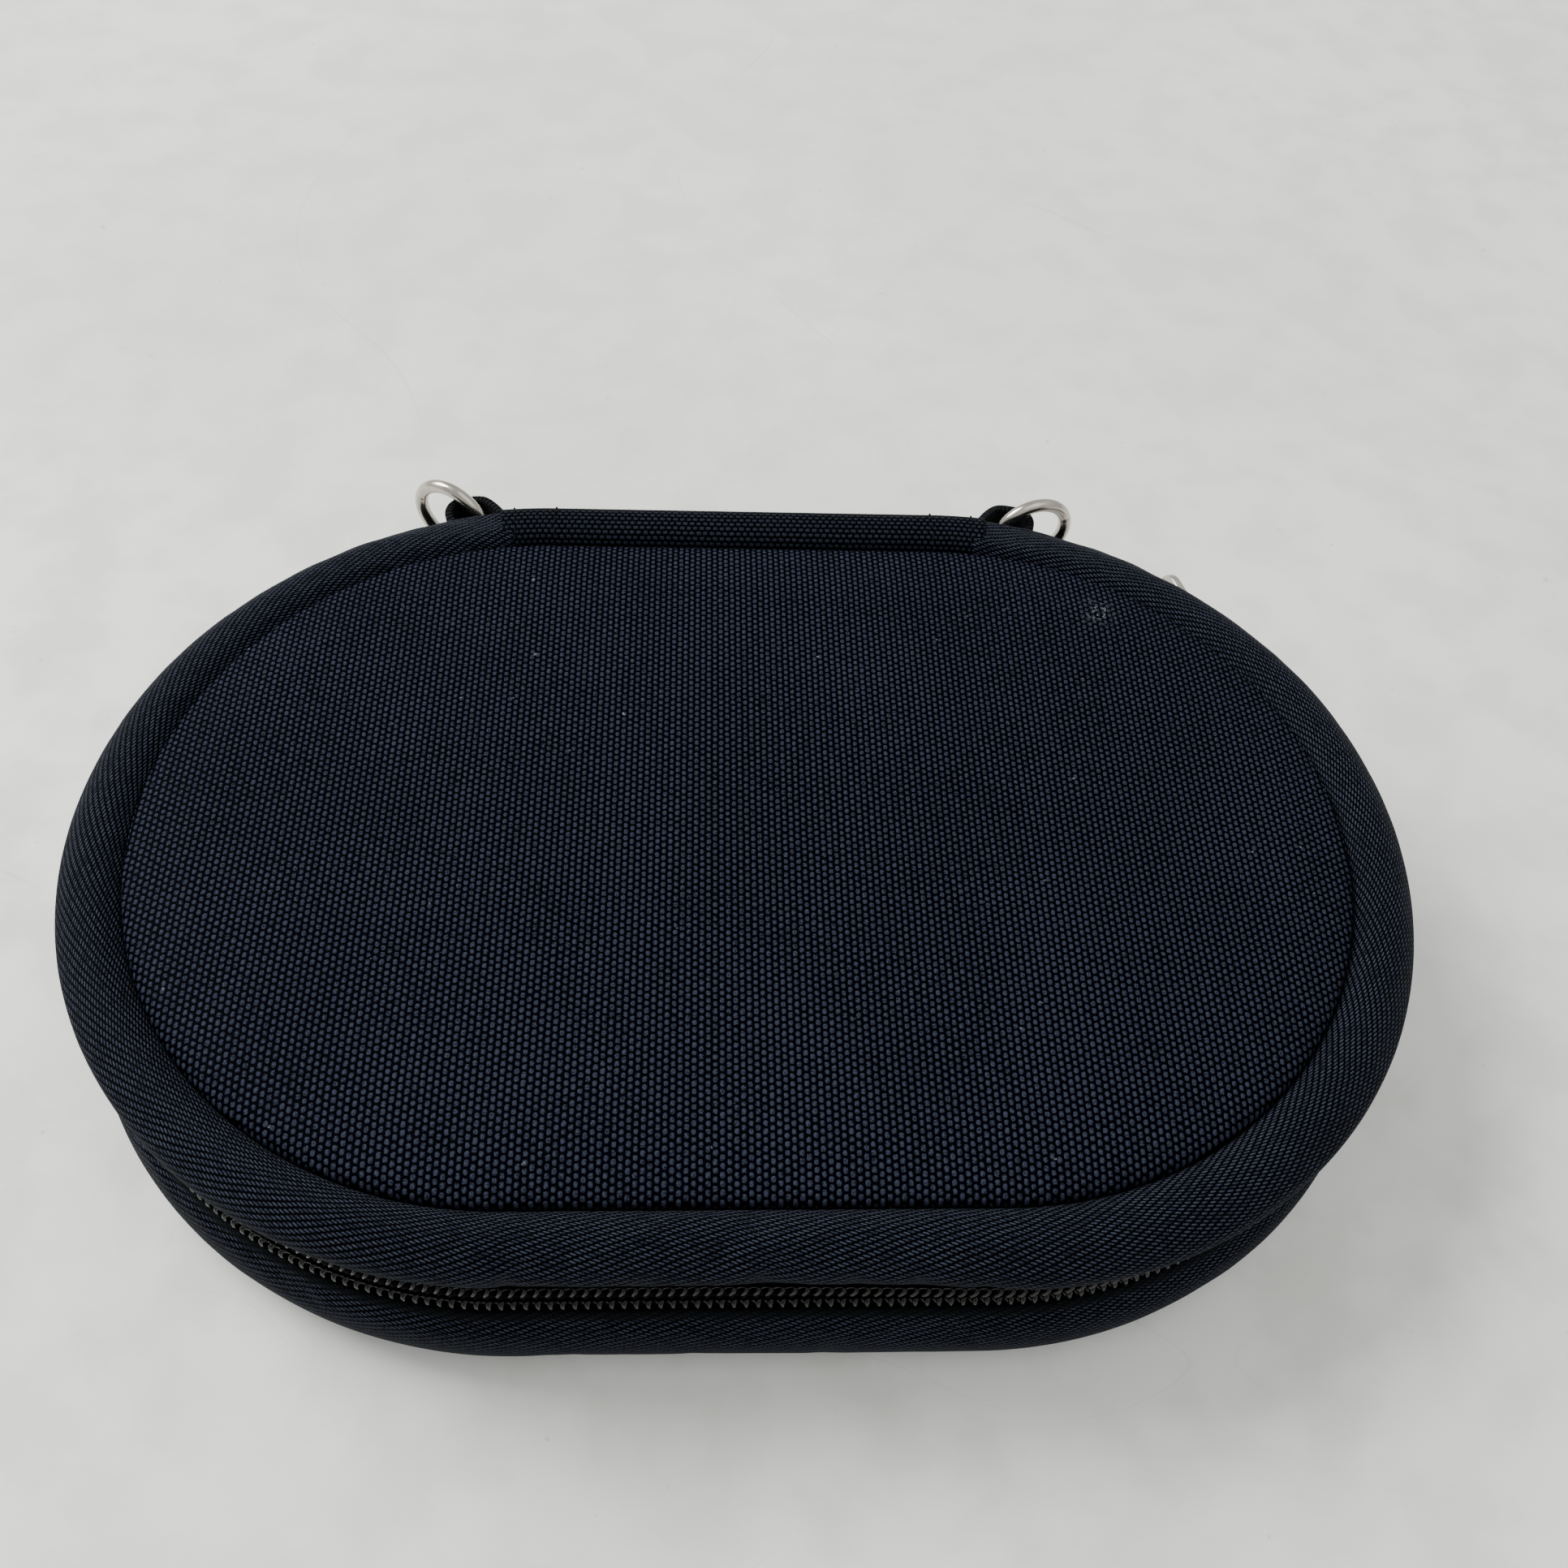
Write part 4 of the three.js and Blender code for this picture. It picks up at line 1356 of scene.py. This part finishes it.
    def binding(self) -> bpy.types.Object:
        """Make the tape that binds the lining's raw edge; its stitches are sewn by stitches().

        Returns:
            The binding.
        """
        sizes = self.sizes
        outer = sizes.tape_inset + 0.9 * MM
        inner = sizes.lining_inset + 1.1 * MM
        low, high = self.half.fold, self.half.reach - 1.6 * MM
        middle = (outer + inner) / 2
        shoulder = high - 0.7 * MM
        line = [(outer, low), (outer, shoulder), (middle, high), (inner, shoulder), (inner, low)]
        along = places(0, sizes.oval.length, 1.8 * MM)
        ring = [(inset, self.half.height(rise)) for inset, rise in line]
        piece = closed_sweep(f"{self.half.name}_edge_binding", sizes.oval, ring, along)
        self.workshop.dress(piece, Finish.BINDING)
        return self.workshop.mount(piece, self.half.name, "binding_tape", [f"{self.half.name}_binding"])

    def stitches(self) -> None:
        """Sew the panel to the rim, and the binding to the lining."""
        sizes, oval = self.sizes, self.sizes.oval
        edge = sizes.rim_width + sizes.gap
        seam, hem = StitchRow(3 * MM, 2.0 * MM, 0.17 * MM), StitchRow(2.6 * MM, 1.9 * MM, 0.2 * MM)
        rows = {
            "seam_stitches": (edge + 0.1 * MM, self.dome_drop + 0.4 * MM, seam),
            "binding_stitches": (sizes.lining_inset + 1.2 * MM, self.half.fold + 0.9 * MM, hem),
        }
        for label, (inset, rise, row) in rows.items():
            points = [oval.point(s, inset, self.half.height(rise)) for s in places(0, oval.length, 1.5 * MM)]
            piece = row.sew(f"{self.half.name}_{label}", points, self.workshop.material(Finish.THREAD))
            slot = "panel_fabric" if label.startswith("seam") else "binding_tape"
            self.workshop.mount(piece, self.half.name, slot)

    def build(self) -> None:
        """Make the whole half."""
        self.panel()
        self.rim()
        self.layers()
        self.lining()
        self.binding()
        self.stitches()


def fill_holes_inner(piece: bpy.types.Object) -> None:
    """Close the hole in the middle of an oval sheet, leaving its outer edge open.

    Args:
        piece: The sheet.
    """
    shape = bmesh.new()
    shape.from_mesh(piece.data)
    inner = [e for e in shape.edges if e.is_boundary and abs(e.verts[0].co.y) < 10 * MM
             and abs(e.verts[0].co.x) < 40 * MM]
    bmesh.ops.holes_fill(shape, edges=inner, sides=0)
    shape.to_mesh(piece.data)
    shape.free()


def closed_sweep(name: str, oval: Oval, ring: Line, along: np.ndarray) -> bpy.types.Object:
    """Sweep a closed section all the way round.

    Args:
        name: Name of the piece.
        oval: The outline.
        ring: Corners of the section, as insets and heights.
        along: Distances once round the outline.

    Returns:
        A closed piece.
    """
    corners = [*ring, ring[0]]
    closed = [p for a, b in zip(corners, corners[1:]) for p in (a, midway(a, b))] + [corners[0]]
    section = smooth_line(closed, 0.7 * MM)
    piece = sweep(name, oval, section, along, loop=True)
    shape = bmesh.new()
    shape.from_mesh(piece.data)
    bmesh.ops.remove_doubles(shape, verts=shape.verts, dist=1e-6)
    bmesh.ops.recalc_face_normals(shape, faces=shape.faces)
    shape.to_mesh(piece.data)
    shape.free()
    return piece


def midway(a: tuple[float, float], b: tuple[float, float]) -> tuple[float, float]:
    """Point halfway between two."""
    return (a[0] + b[0]) / 2, (a[1] + b[1]) / 2


# ---- Hinge ---------------------------------------------------------------------------------


@dataclass
class Hinge:
    """Strip of the panel's cloth that joins the halves at the back, with its stitches."""

    sizes: CaseSizes
    workshop: Workshop
    rim: list[tuple[float, float]]
    lid_rim: list[tuple[float, float]]
    proud: float = 0.4 * MM
    overlap: float = 1.9 * MM
    cloth_wall: float = 0.9 * MM
    bend: float = 4 * MM

    def line(self, half: Half, rim: Line) -> list[tuple[float, float]]:
        """Inset and height from a half's groove to its widest line, standing proud of the rim."""
        drop = self.proud * 0.6
        return [(inset - self.proud, half.height(max(0.0, rise - drop))) for inset, rise in rim[:8]]

    def section(self) -> np.ndarray:
        """Whole section, from the lid's groove down the back to the base's.

        Returns:
            Inset and height of each point.
        """
        back = (-0.2 * MM, self.sizes.split)
        lid, base = self.line(self.sizes.lid, self.lid_rim), self.line(self.sizes.base, self.rim)
        return smooth_line([*lid, back, *reversed(base)], 0.9 * MM)

    def build(self) -> None:
        """Make the strip and its rows of stitches."""
        reach = self.sizes.hinge_half + self.overlap
        section = self.section()
        along = places(-reach, reach, 1.3 * MM)
        ripple = Ripple(0.12 * MM, 3.5 * MM, seed=0.4)
        piece = sweep("hinge_cloth", self.sizes.oval, section, along, flip=True, ripple=ripple)
        Shell.keep_above_floor(piece)
        thicken(piece, self.cloth_wall, levels=1)
        self.workshop.dress(piece, Finish.HINGE)
        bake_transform(piece)
        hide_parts("base_hinge_strip", "lid_hinge_strip")
        self.rows()
        self.fuzz()

    def fuzz(self) -> None:
        """Let fibres stand off the worn fold along the lid's back edge."""
        height = self.sizes.lid.height(1.3 * MM)
        spread = np.random.default_rng(5)
        places_along = spread.uniform(-self.sizes.hinge_half, self.sizes.hinge_half, 46)
        points = [
            self.sizes.oval.point(s, 2.2 * MM + 0.8 * MM * spread.random(), height)
            for s in places_along
        ]
        fibres = Fray(1.5 * MM, 0.03 * MM, 11)
        piece = fibres.scatter("hinge_fuzz", points, self.workshop.material(Finish.FRAY))
        self.workshop.mount(piece, "lid", "panel_fabric")

    def rows(self) -> None:
        """Sew the strip's two edges and its two inner rows, on each half."""
        for half, rim in ((self.sizes.base, self.rim), (self.sizes.lid, self.lid_rim)):
            section = smooth_line(self.line(half, rim), 0.8 * MM)
            for side, label in ((1, "left"), (-1, "right")):
                for inner, place in ((False, self.sizes.hinge_half - 0.4 * MM), (True, 30.6 * MM)):
                    points = [self.sizes.oval.point(side * place, inset - 0.1 * MM, height)
                              for inset, height in section[1:]]
                    name = f"{half.name}_hinge_{label}_{'inner' if inner else 'edge'}_stitches"
                    row = StitchRow(2.1 * MM, 1.6 * MM, 0.17 * MM)
                    piece = row.sew(name, points, self.workshop.material(Finish.THREAD))
                    self.workshop.mount(piece, half.name, "panel_fabric")


# ---- Zip -----------------------------------------------------------------------------------


@dataclass
class Zip:
    """Tapes, coils, slider and pull tab."""

    sizes: CaseSizes
    workshop: Workshop
    pitch: float = 1.58 * MM
    wire: float = 0.3 * MM
    coil_depth: float = 0.42 * MM
    coil_reach: float = 0.88 * MM
    steps: int = 12
    tape_wall: float = 0.5 * MM
    gape: Gape = Gape(0.8 * MM)

    def tape(self, half: Half) -> bpy.types.Object:
        """Make one half of the zip's tape.

        Args:
            half: Half of the case that it is sewn to.

        Returns:
            The tape.
        """
        inset = self.sizes.tape_inset
        low, high = half.fold - 2.2 * MM, half.reach - 0.35 * MM
        section = smooth_line([(inset, half.height(low)), (inset + 0.05 * MM, half.height((low + high) / 2)),
                               (inset, half.height(high))], 0.7 * MM)
        edge = self.sizes.hinge_half
        along = places(edge, self.sizes.oval.length - edge, 1.8 * MM)
        flip = half.up < 0
        gape = self.gape if flip else None
        piece = sweep(f"{half.name}_tape_cloth", self.sizes.oval, section, along, flip, gape=gape)
        thicken(piece, self.tape_wall)
        self.workshop.dress(piece, Finish.TAPE)
        return self.workshop.mount(piece, half.name, "zip_tape", [f"{half.name}_zip_tape"])

    def coil(self, half: Half) -> bpy.types.Object:
        """Wind one half of the coil as a flattened helix with a head on each turn.

        Args:
            half: Half of the case that it is sewn to.

        Returns:
            The coil.
        """
        inset = self.sizes.coil_inset + self.sizes.coil_out / 2
        height = half.height(half.reach - 0.1 * MM - self.wire - self.coil_reach)
        edge = self.sizes.hinge_half + MM
        drawn = self.gape.inset if half.up < 0 else (lambda along: 0.0)
        points = [self.sizes.oval.point(s, inset + drawn(s), height)
                  for s in places(edge, self.sizes.oval.length - edge, 2 * MM)]
        turns = int((self.sizes.oval.length - 2 * edge) / self.pitch)
        name = f"{half.name}_coil_teeth"
        recipe = NodeRecipe(f"{name}_recipe")
        count = recipe.math("MULTIPLY", recipe.size("Turns", turns), recipe.size("Steps a turn", self.steps))
        wire = recipe.size("Wire radius", self.wire)
        depth = recipe.size("Half depth", self.coil_depth)
        reach = recipe.size("Half height", self.coil_reach * half.up)
        lead = recipe.size("Start of the winding", 0.0 if half.up > 0 else math.pi)
        upright = recipe.size("Upright", self.pitch * (0.25 if half.up > 0 else 0.42))
        line = recipe.add("GeometryNodeMeshToCurve", {0: recipe.start.outputs[0]})
        spaced = recipe.add("GeometryNodeResampleCurve", {0: line.outputs[0], "Count": count}, mode="COUNT")
        index = recipe.add("GeometryNodeInputIndex").outputs[0]
        angle = recipe.math("MULTIPLY", index, 2 * math.pi / self.steps)
        angle = recipe.math("ADD", angle, lead)
        tangent = recipe.add("GeometryNodeInputTangent").outputs[0]
        out = recipe.vector("CROSS_PRODUCT", tangent, (0.0, 0.0, 1.0))
        out = recipe.scaled(out, recipe.math("MULTIPLY", recipe.math("COSINE", angle), depth))
        rise = recipe.math("SINE", angle)
        up = recipe.add("ShaderNodeCombineXYZ", {2: recipe.math("MULTIPLY", rise, reach)}).outputs[0]
        back = recipe.scaled(tangent, recipe.math("MULTIPLY", rise, recipe.math("MULTIPLY", upright, -1.0)))
        offset = recipe.vector("ADD", recipe.vector("ADD", out, up), back)
        feeds = {0: spaced.outputs[0], "Offset": offset}
        wound = recipe.add("GeometryNodeSetPosition", feeds)
        head = recipe.math("MULTIPLY", recipe.math("MAXIMUM", rise, 0.0), 0.35)
        radius = recipe.math("MULTIPLY", wire, recipe.math("ADD", head, 1.0))
        circle = recipe.add("GeometryNodeCurvePrimitiveCircle", {"Resolution": 7, "Radius": 1.0})
        feeds = {0: wound.outputs[0], 1: circle.outputs[0], "Scale": radius, "Fill Caps": True}
        mesh = recipe.add("GeometryNodeCurveToMesh", feeds)
        piece = recipe.apply(wire_line(name, points), mesh.outputs[0], self.workshop.material(Finish.NYLON))
        return self.workshop.mount(piece, half.name, "zip_coil", [f"{half.name}_zip_coil"])

    def metalwork(self) -> None:
        """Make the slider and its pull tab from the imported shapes, with worn round edges."""
        metal = (("zip_slider", "slider_body", 0.22 * MM), ("zip_pull", "pull_tab", 0.3 * MM))
        for node, name, edge in metal:
            piece = softened(node, name, edge)
            self.workshop.dress(piece, Finish.GUNMETAL)
            body = "slider" if node == "zip_slider" else "pull"
            self.workshop.mount(piece, body, "zip_metal", [node])

    def build(self) -> None:
        """Make the whole zip."""
        for half in (self.sizes.base, self.sizes.lid):
            self.tape(half)
            self.coil(half)
        self.metalwork()


def softened(node: str, name: str, edge: float) -> bpy.types.Object:
    """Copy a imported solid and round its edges.

    Args:
        node: The CAD node.
        name: Name of the copy.
        edge: Width of the rounding.

    Returns:
        The rounded copy.
    """
    shape = bmesh.new()
    shape.from_mesh(frame["nodes"][node].data)
    bmesh.ops.remove_doubles(shape, verts=shape.verts, dist=1e-6)
    bmesh.ops.dissolve_limit(shape, angle_limit=math.radians(1.5), verts=shape.verts, edges=shape.edges)
    bmesh.ops.recalc_face_normals(shape, faces=shape.faces)
    mesh = bpy.data.meshes.new(name)
    shape.to_mesh(mesh)
    shape.free()
    piece = link(mesh, name)
    bevel = piece.modifiers.new("worn edges", "BEVEL")
    bevel.width = edge
    bevel.segments = 3
    bevel.limit_method = "ANGLE"
    bevel.angle_limit = math.radians(25)
    bevel.harden_normals = True
    return plain(piece)


# ---- Webbing loops and rings ---------------------------------------------------------------


@dataclass
class StrapPoint:
    """A webbing loop sewn beside the hinge, and the wire ring that hangs in it."""

    sizes: CaseSizes
    workshop: Workshop
    side: str
    webbing: float = 1.3 * MM
    web_width: float = 8.2 * MM
    wire: float = 2.2 * MM
    low: float = 0.4 * MM
    length: float = 9.4 * MM
    slack: float = 2.5 * MM
    root_gap: float = 1.7 * MM
    lift: float = 1.6 * MM

    @property
    def sign(self) -> int:
        """1 on the right, -1 on the left."""
        return 1 if self.side == "right" else -1

    def place(self) -> Matrix:
        """Frame of the loop's root: X along the wall away from the hinge, Y out of it, Z up.

        Returns:
            The frame.
        """
        oval = self.sizes.oval
        x = self.sizes.hinge_half + self.root_gap
        angle = math.asin((x - oval.half_straight) / oval.radius)
        low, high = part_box(f"{self.side}_loop")
        root = Vector((x, oval.radius * math.cos(angle), (low.z + high.z) / 2 + self.lift))
        mirror = Matrix.Diagonal((self.sign, 1, 1, 1))
        return mirror @ Matrix.Translation(root) @ Matrix.Rotation(-angle, 4, "Z")

    def centre_line(self) -> np.ndarray:
        """Middle of the webbing, from the root, round the eye and back to the root.

        Returns:
            Distance out and distance along of each point.
        """
        window = self.wire + self.slack
        radius = (window + self.webbing) / 2
        near, middle = self.low + self.webbing / 2, self.low + self.webbing / 2 + radius
        straight = self.length - radius - self.webbing / 2
        turn = [(straight + radius * math.sin(t), middle - radius * math.cos(t))
                for t in np.linspace(0, math.pi, 9)]
        line = [(-0.4 * MM, near + 0.5 * MM), (1.2 * MM, near), (straight * 0.6, near), *turn,
                (straight * 0.55, middle + radius * 0.98), (1.6 * MM, middle + radius * 0.5),
                (0.2 * MM, near + self.webbing * 1.6)]
        return smooth_line(line, 0.5 * MM)

    def loop(self) -> bpy.types.Object:
        """Make the folded webbing.

        Returns:
            The loop.
        """
        line = self.centre_line()
        heights = np.linspace(-self.web_width / 2, self.web_width / 2, 13)
        lengths = line_length(line)
        tangent = np.gradient(line, axis=0)
        tangent /= np.linalg.norm(tangent, axis=1)[:, None]
        out = np.stack([tangent[:, 1], -tangent[:, 0]], 1)
        place = self.place()
        rows, cloth = [], []
        for k, (x, y) in enumerate(line):
            row = []
            for z in heights:
                curl = 0.18 * MM * (2 * z / self.web_width) ** 2 * math.sin(lengths[k] * 310 + self.sign)
                sway = 0.12 * MM * math.sin(lengths[k] * 520 + z * 400)
                spot = Vector((x + out[k, 0] * curl, y + out[k, 1] * curl, z + sway))
                row.append(place @ spot)
            rows.append(row)
            cloth.append([(lengths[k], z) for z in heights])
        piece = grid_piece(f"{self.side}_strap_loop", np.array(rows, float), np.array(cloth, float))
        solid = piece.modifiers.new("wall", "SOLIDIFY")
        solid.thickness = self.webbing
        solid.offset = 0
        plain(piece)
        rounded = piece.modifiers.new("soft edge", "BEVEL")
        rounded.width = 0.3 * MM
        rounded.segments = 2
        rounded.angle_limit = math.radians(50)
        plain(piece)
        face_out(piece)
        self.workshop.dress(piece, Finish.WEBBING)
        return self.workshop.mount(piece, "lid", "webbing", [f"{self.side}_loop"])

    def fray(self) -> bpy.types.Object:
        """Make the stray fibres along the webbing's upper and lower edges.

        Returns:
            The fibres.
        """
        place, line = self.place(), self.centre_line()
        edges = (self.web_width / 2, -self.web_width / 2)
        points = [place @ Vector((x, y, z)) for z in edges for x, y in line[4:-3]]
        finish = self.workshop.material(Finish.FRAY)
        piece = Fray(seed=7 + self.sign).scatter(f"{self.side}_loop_fray", points, finish)
        return self.workshop.mount(piece, "lid", "webbing")

    def ring(self) -> bpy.types.Object:
        """Bend the wire ring, with the wire slightly narrowed at its butt joint.

        Returns:
            The ring.
        """
        low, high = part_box(f"{self.side}_ring")
        joint = next(j for j in frame["joints"] if j["child"] == f"{self.side}_ring")
        centre = (low + high) / 2 + Vector((0, 0, self.lift))
        leg = Vector(joint["pos_m"])
        reach = Vector((centre.x - leg.x, centre.y - leg.y, 0)).normalized()
        radius = (high.z - low.z) / 2 - self.wire / 2
        rows, cloth = [], []
        for turn in np.linspace(0, 2 * math.pi, 97)[:-1]:
            way = reach * math.cos(turn) + Vector((0, 0, math.sin(turn)))
            across = reach.cross(Vector((0, 0, 1)))
            thin = self.wire / 2 * (1 - 0.10 * math.exp(-((turn - 0.45) / 0.018) ** 2))
            row = [centre + way * (radius + thin * math.cos(s)) + across * (thin * math.sin(s))
                   for s in np.linspace(0, 2 * math.pi, 21)]
            rows.append(row)
            cloth.append([(turn * radius, s * thin) for s in np.linspace(0, 2 * math.pi, 21)])
        cloth.append([(2 * math.pi * radius, c[1]) for c in cloth[0]])
        piece = grid_piece(f"{self.side}_wire_ring", np.array(rows, float), np.array(cloth, float), loop=True)
        shape = bmesh.new()
        shape.from_mesh(piece.data)
        bmesh.ops.remove_doubles(shape, verts=shape.verts, dist=1e-7)
        bmesh.ops.recalc_face_normals(shape, faces=shape.faces)
        shape.to_mesh(piece.data)
        shape.free()
        self.workshop.dress(piece, Finish.NICKEL)
        return self.workshop.mount(piece, f"{self.side}_ring", "ring_nickel", [f"{self.side}_ring"])

    def build(self) -> None:
        """Make the loop, its fray and the ring."""
        self.loop()
        self.fray()
        self.ring()


# ---- Pocket --------------------------------------------------------------------------------


@dataclass
class Pocket:
    """Stretch pocket inside the lid, with the elastic band along its mouth."""

    sizes: CaseSizes
    workshop: Workshop
    columns: int = 121
    rows: int = 46
    belly: float = 2.6 * MM
    rim: float = 10 * MM

    def net(self) -> bpy.types.Object:
        """Make the pocket's cloth, gathered towards its mouth.

        Returns:
            The pocket.
        """
        low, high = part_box("lid_pocket")
        radius, straight = -low.y, self.sizes.oval.half_straight
        mouth = high.y
        points, cloth = [], []
        for v in np.linspace(0, 1, self.rows):
            y = -radius + 0.2 * MM + (mouth + radius - 0.2 * MM) * v
            half = straight + math.sqrt(max(0.0, radius**2 - y * y))
            row, flat = [], []
            for s in np.linspace(-1, 1, self.columns):
                x = s * half
                beyond = max(0.0, abs(x) - straight)
                inset = radius - math.hypot(beyond, y)
                lift = self.belly * smoothstep(inset / self.rim)
                gather = 0.38 * MM * math.sin(x * 620) * math.exp(-(mouth - y) / (9 * MM))
                gather *= smoothstep(inset / self.rim)
                row.append((x, y, high.z - 0.1 * MM - lift + gather))
                flat.append((x, y))
            points.append(row)
            cloth.append(flat)
        piece = grid_piece("pocket_net", np.array(points, float), np.array(cloth, float), flip=True)
        thicken(piece, 0.45 * MM)
        self.workshop.dress(piece, Finish.NET)
        self.workshop.mount(piece, "lid", "pocket_mesh", ["lid_pocket"])
        flat = (2 * (radius + straight), radius + mouth)
        return piece

    def band(self) -> bpy.types.Object:
        """Make the elastic folded over the mouth.

        Returns:
            The band.
        """
        low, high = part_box("pocket_elastic")
        half = (high.x - low.x) / 2
        points, cloth = [], []
        for x in np.linspace(-half, half, 221):
            lift = self.belly * smoothstep((half - abs(x)) / (self.belly * 2.4))
            ruck = 0.14 * MM * math.sin(x * 2400)
            row = []
            for y in np.linspace(low.y, high.y, 9):
                edge = min(y - low.y, high.y - y)
                row.append((x, y, high.z - 0.1 * MM - lift + ruck * min(1.0, edge / (1.2 * MM))))
            points.append(row)
            cloth.append([(x, y) for y in np.linspace(low.y, high.y, 9)])
        piece = grid_piece("pocket_band", np.array(points, float), np.array(cloth, float))
        thicken(piece, 1.1 * MM)
        self.workshop.dress(piece, Finish.WEBBING)
        return self.workshop.mount(piece, "lid", "webbing", ["pocket_elastic"])

    def build(self) -> None:
        """Make the pocket."""
        self.net()
        self.band()


# ---- Studio --------------------------------------------------------------------------------


@dataclass
class Studio:
    """Camera, soft lights and the pale surface that the case lies on."""

    focal: float = 1935.0
    frame_side: float = 1932.0
    sensor: float = 36.0
    pitch: float = 54.246
    heading: float = 5.566
    roll: float = 5.002
    target: tuple[float, float] = (7.469 * MM, 32.548 * MM)
    distance: float = 268.64 * MM

    def camera(self) -> None:
        """Stand the camera where the case is seen from above its front edge."""
        pitch, heading, roll = (math.radians(a) for a in (self.pitch, self.heading, self.roll))
        ahead = math.cos(pitch)
        forward = Vector((math.sin(heading) * ahead, math.cos(heading) * ahead, -math.sin(pitch)))
        right = Vector((math.cos(heading), -math.sin(heading), 0))
        up = right.cross(forward)
        level = right * math.cos(roll) + up * math.sin(roll)
        upright = up * math.cos(roll) - right * math.sin(roll)
        data = bpy.data.cameras.new("camera")
        data.sensor_width = self.sensor
        data.lens = self.sensor * self.focal / self.frame_side
        data.clip_start, data.clip_end = 0.01, 20
        eye = bpy.data.objects.new("camera", data)
        bpy.context.scene.collection.objects.link(eye)
        turn = Matrix((level, upright, -forward)).transposed().to_4x4()
        eye.matrix_world = Matrix.Translation(Vector((*self.target, 0)) - forward * self.distance) @ turn
        bpy.context.scene.camera = eye

    def light(self, name: str, place: tuple, size: float, power: float, colour: Colour) -> None:
        """Hang one soft panel light, aimed at the case.

        Args:
            name: Name of the light.
            place: Where it hangs.
            size: Width of the panel.
            power: Watts.
            colour: Its colour.
        """
        data = bpy.data.lights.new(name, "AREA")
        data.shape = "DISK"
        data.size = size
        data.energy = power
        data.color = colour
        lamp = bpy.data.objects.new(name, data)
        bpy.context.scene.collection.objects.link(lamp)
        lamp.location = place
        lamp.rotation_euler = (Vector((0, 0, 0.02)) - Vector(place)).to_track_quat("-Z", "Y").to_euler()

    def table(self) -> None:
        """Lay the pale, faintly scratched table top."""
        mesh = bpy.data.meshes.new("table_top")
        far = 3.0
        mesh.from_pydata([(-far, -far, 0), (far, -far, 0), (far, far, 0), (-far, far, 0)], [], [(0, 1, 2, 3)])
        top = link(mesh, "table_top")
        graph = Graph("table_laminate", 0.5)
        where = graph.place()
        cloud = graph.noise(where, 9.0, 5.0)
        mottle = graph.noise(where, 70.0, 6.0)
        specks = graph.ramp(graph.noise(where, 320.0, 3.0), 0.71, 0.78, 0.0, 0.4)
        tone = graph.mix(graph.ramp(cloud, 0.3, 0.7), (0.725, 0.725, 0.693), (0.82, 0.82, 0.79))
        tone = graph.mix(graph.ramp(mottle, 0.38, 0.66, 0.0, 0.5), tone, (0.60, 0.595, 0.56))
        tone = graph.mix(specks, tone, (0.33, 0.32, 0.30))
        for scale, width, share in ((6.0, 0.0011, 0.16), (13.0, 0.0016, 0.09)):
            feeds = {0: where, 1: (1.0, scale / 9, 1.0)}
            warp = graph.add("ShaderNodeVectorMath", feeds, operation="MULTIPLY")
            drawn = graph.math("SUBTRACT", graph.noise(warp.outputs[0], scale, 1.0), 0.5)
            ridge = graph.math("ABSOLUTE", drawn)
            broken = graph.ramp(graph.noise(where, scale * 3, 2.0), 0.52, 0.6, 0.0, share)
            scratch = graph.math("MULTIPLY", graph.ramp(ridge, width, 0.0), broken)
            tone = graph.mix(scratch, tone, (0.22, 0.21, 0.20))
        graph.paint(tone)
        graph.rough(graph.ramp(mottle, 0.3, 0.7, 0.42, 0.6))
        graph.emboss(mottle, 0.05 * MM)
        top.data.materials.append(graph.material)

    def build(self) -> None:
        """Set the whole studio."""
        self.camera()
        self.table()
        self.light("window", (-0.95, 0.55, 1.10), 0.9, 38.0, (1.0, 1.0, 0.985))
        self.light("fill", (0.6, -0.35, 1.6), 1.6, 7.0, (1.0, 0.99, 0.97))
        world = bpy.data.worlds.new("room")
        world.use_nodes = True
        world.node_tree.nodes["Background"].inputs[0].default_value = (0.83, 0.84, 0.83, 1)
        world.node_tree.nodes["Background"].inputs[1].default_value = 0.98
        bpy.context.scene.world = world


def main() -> None:
    """Build the studio and every part of the case."""
    logging.basicConfig(level=logging.INFO, format="%(name)s: %(message)s")
    sizes = CaseSizes.from_frame()
    workshop = Workshop()
    Studio().build()
    base, lid = Shell(sizes, sizes.base, workshop), Shell(sizes, sizes.lid, workshop)
    base.build()
    lid.build()
    Hinge(sizes, workshop, base.rim_line(), lid.rim_line()).build()
    Zip(sizes, workshop).build()
    Pocket(sizes, workshop).build()
    for side in ("left", "right"):
        StrapPoint(sizes, workshop, side).build()


if __name__ == "__main__":
    main()
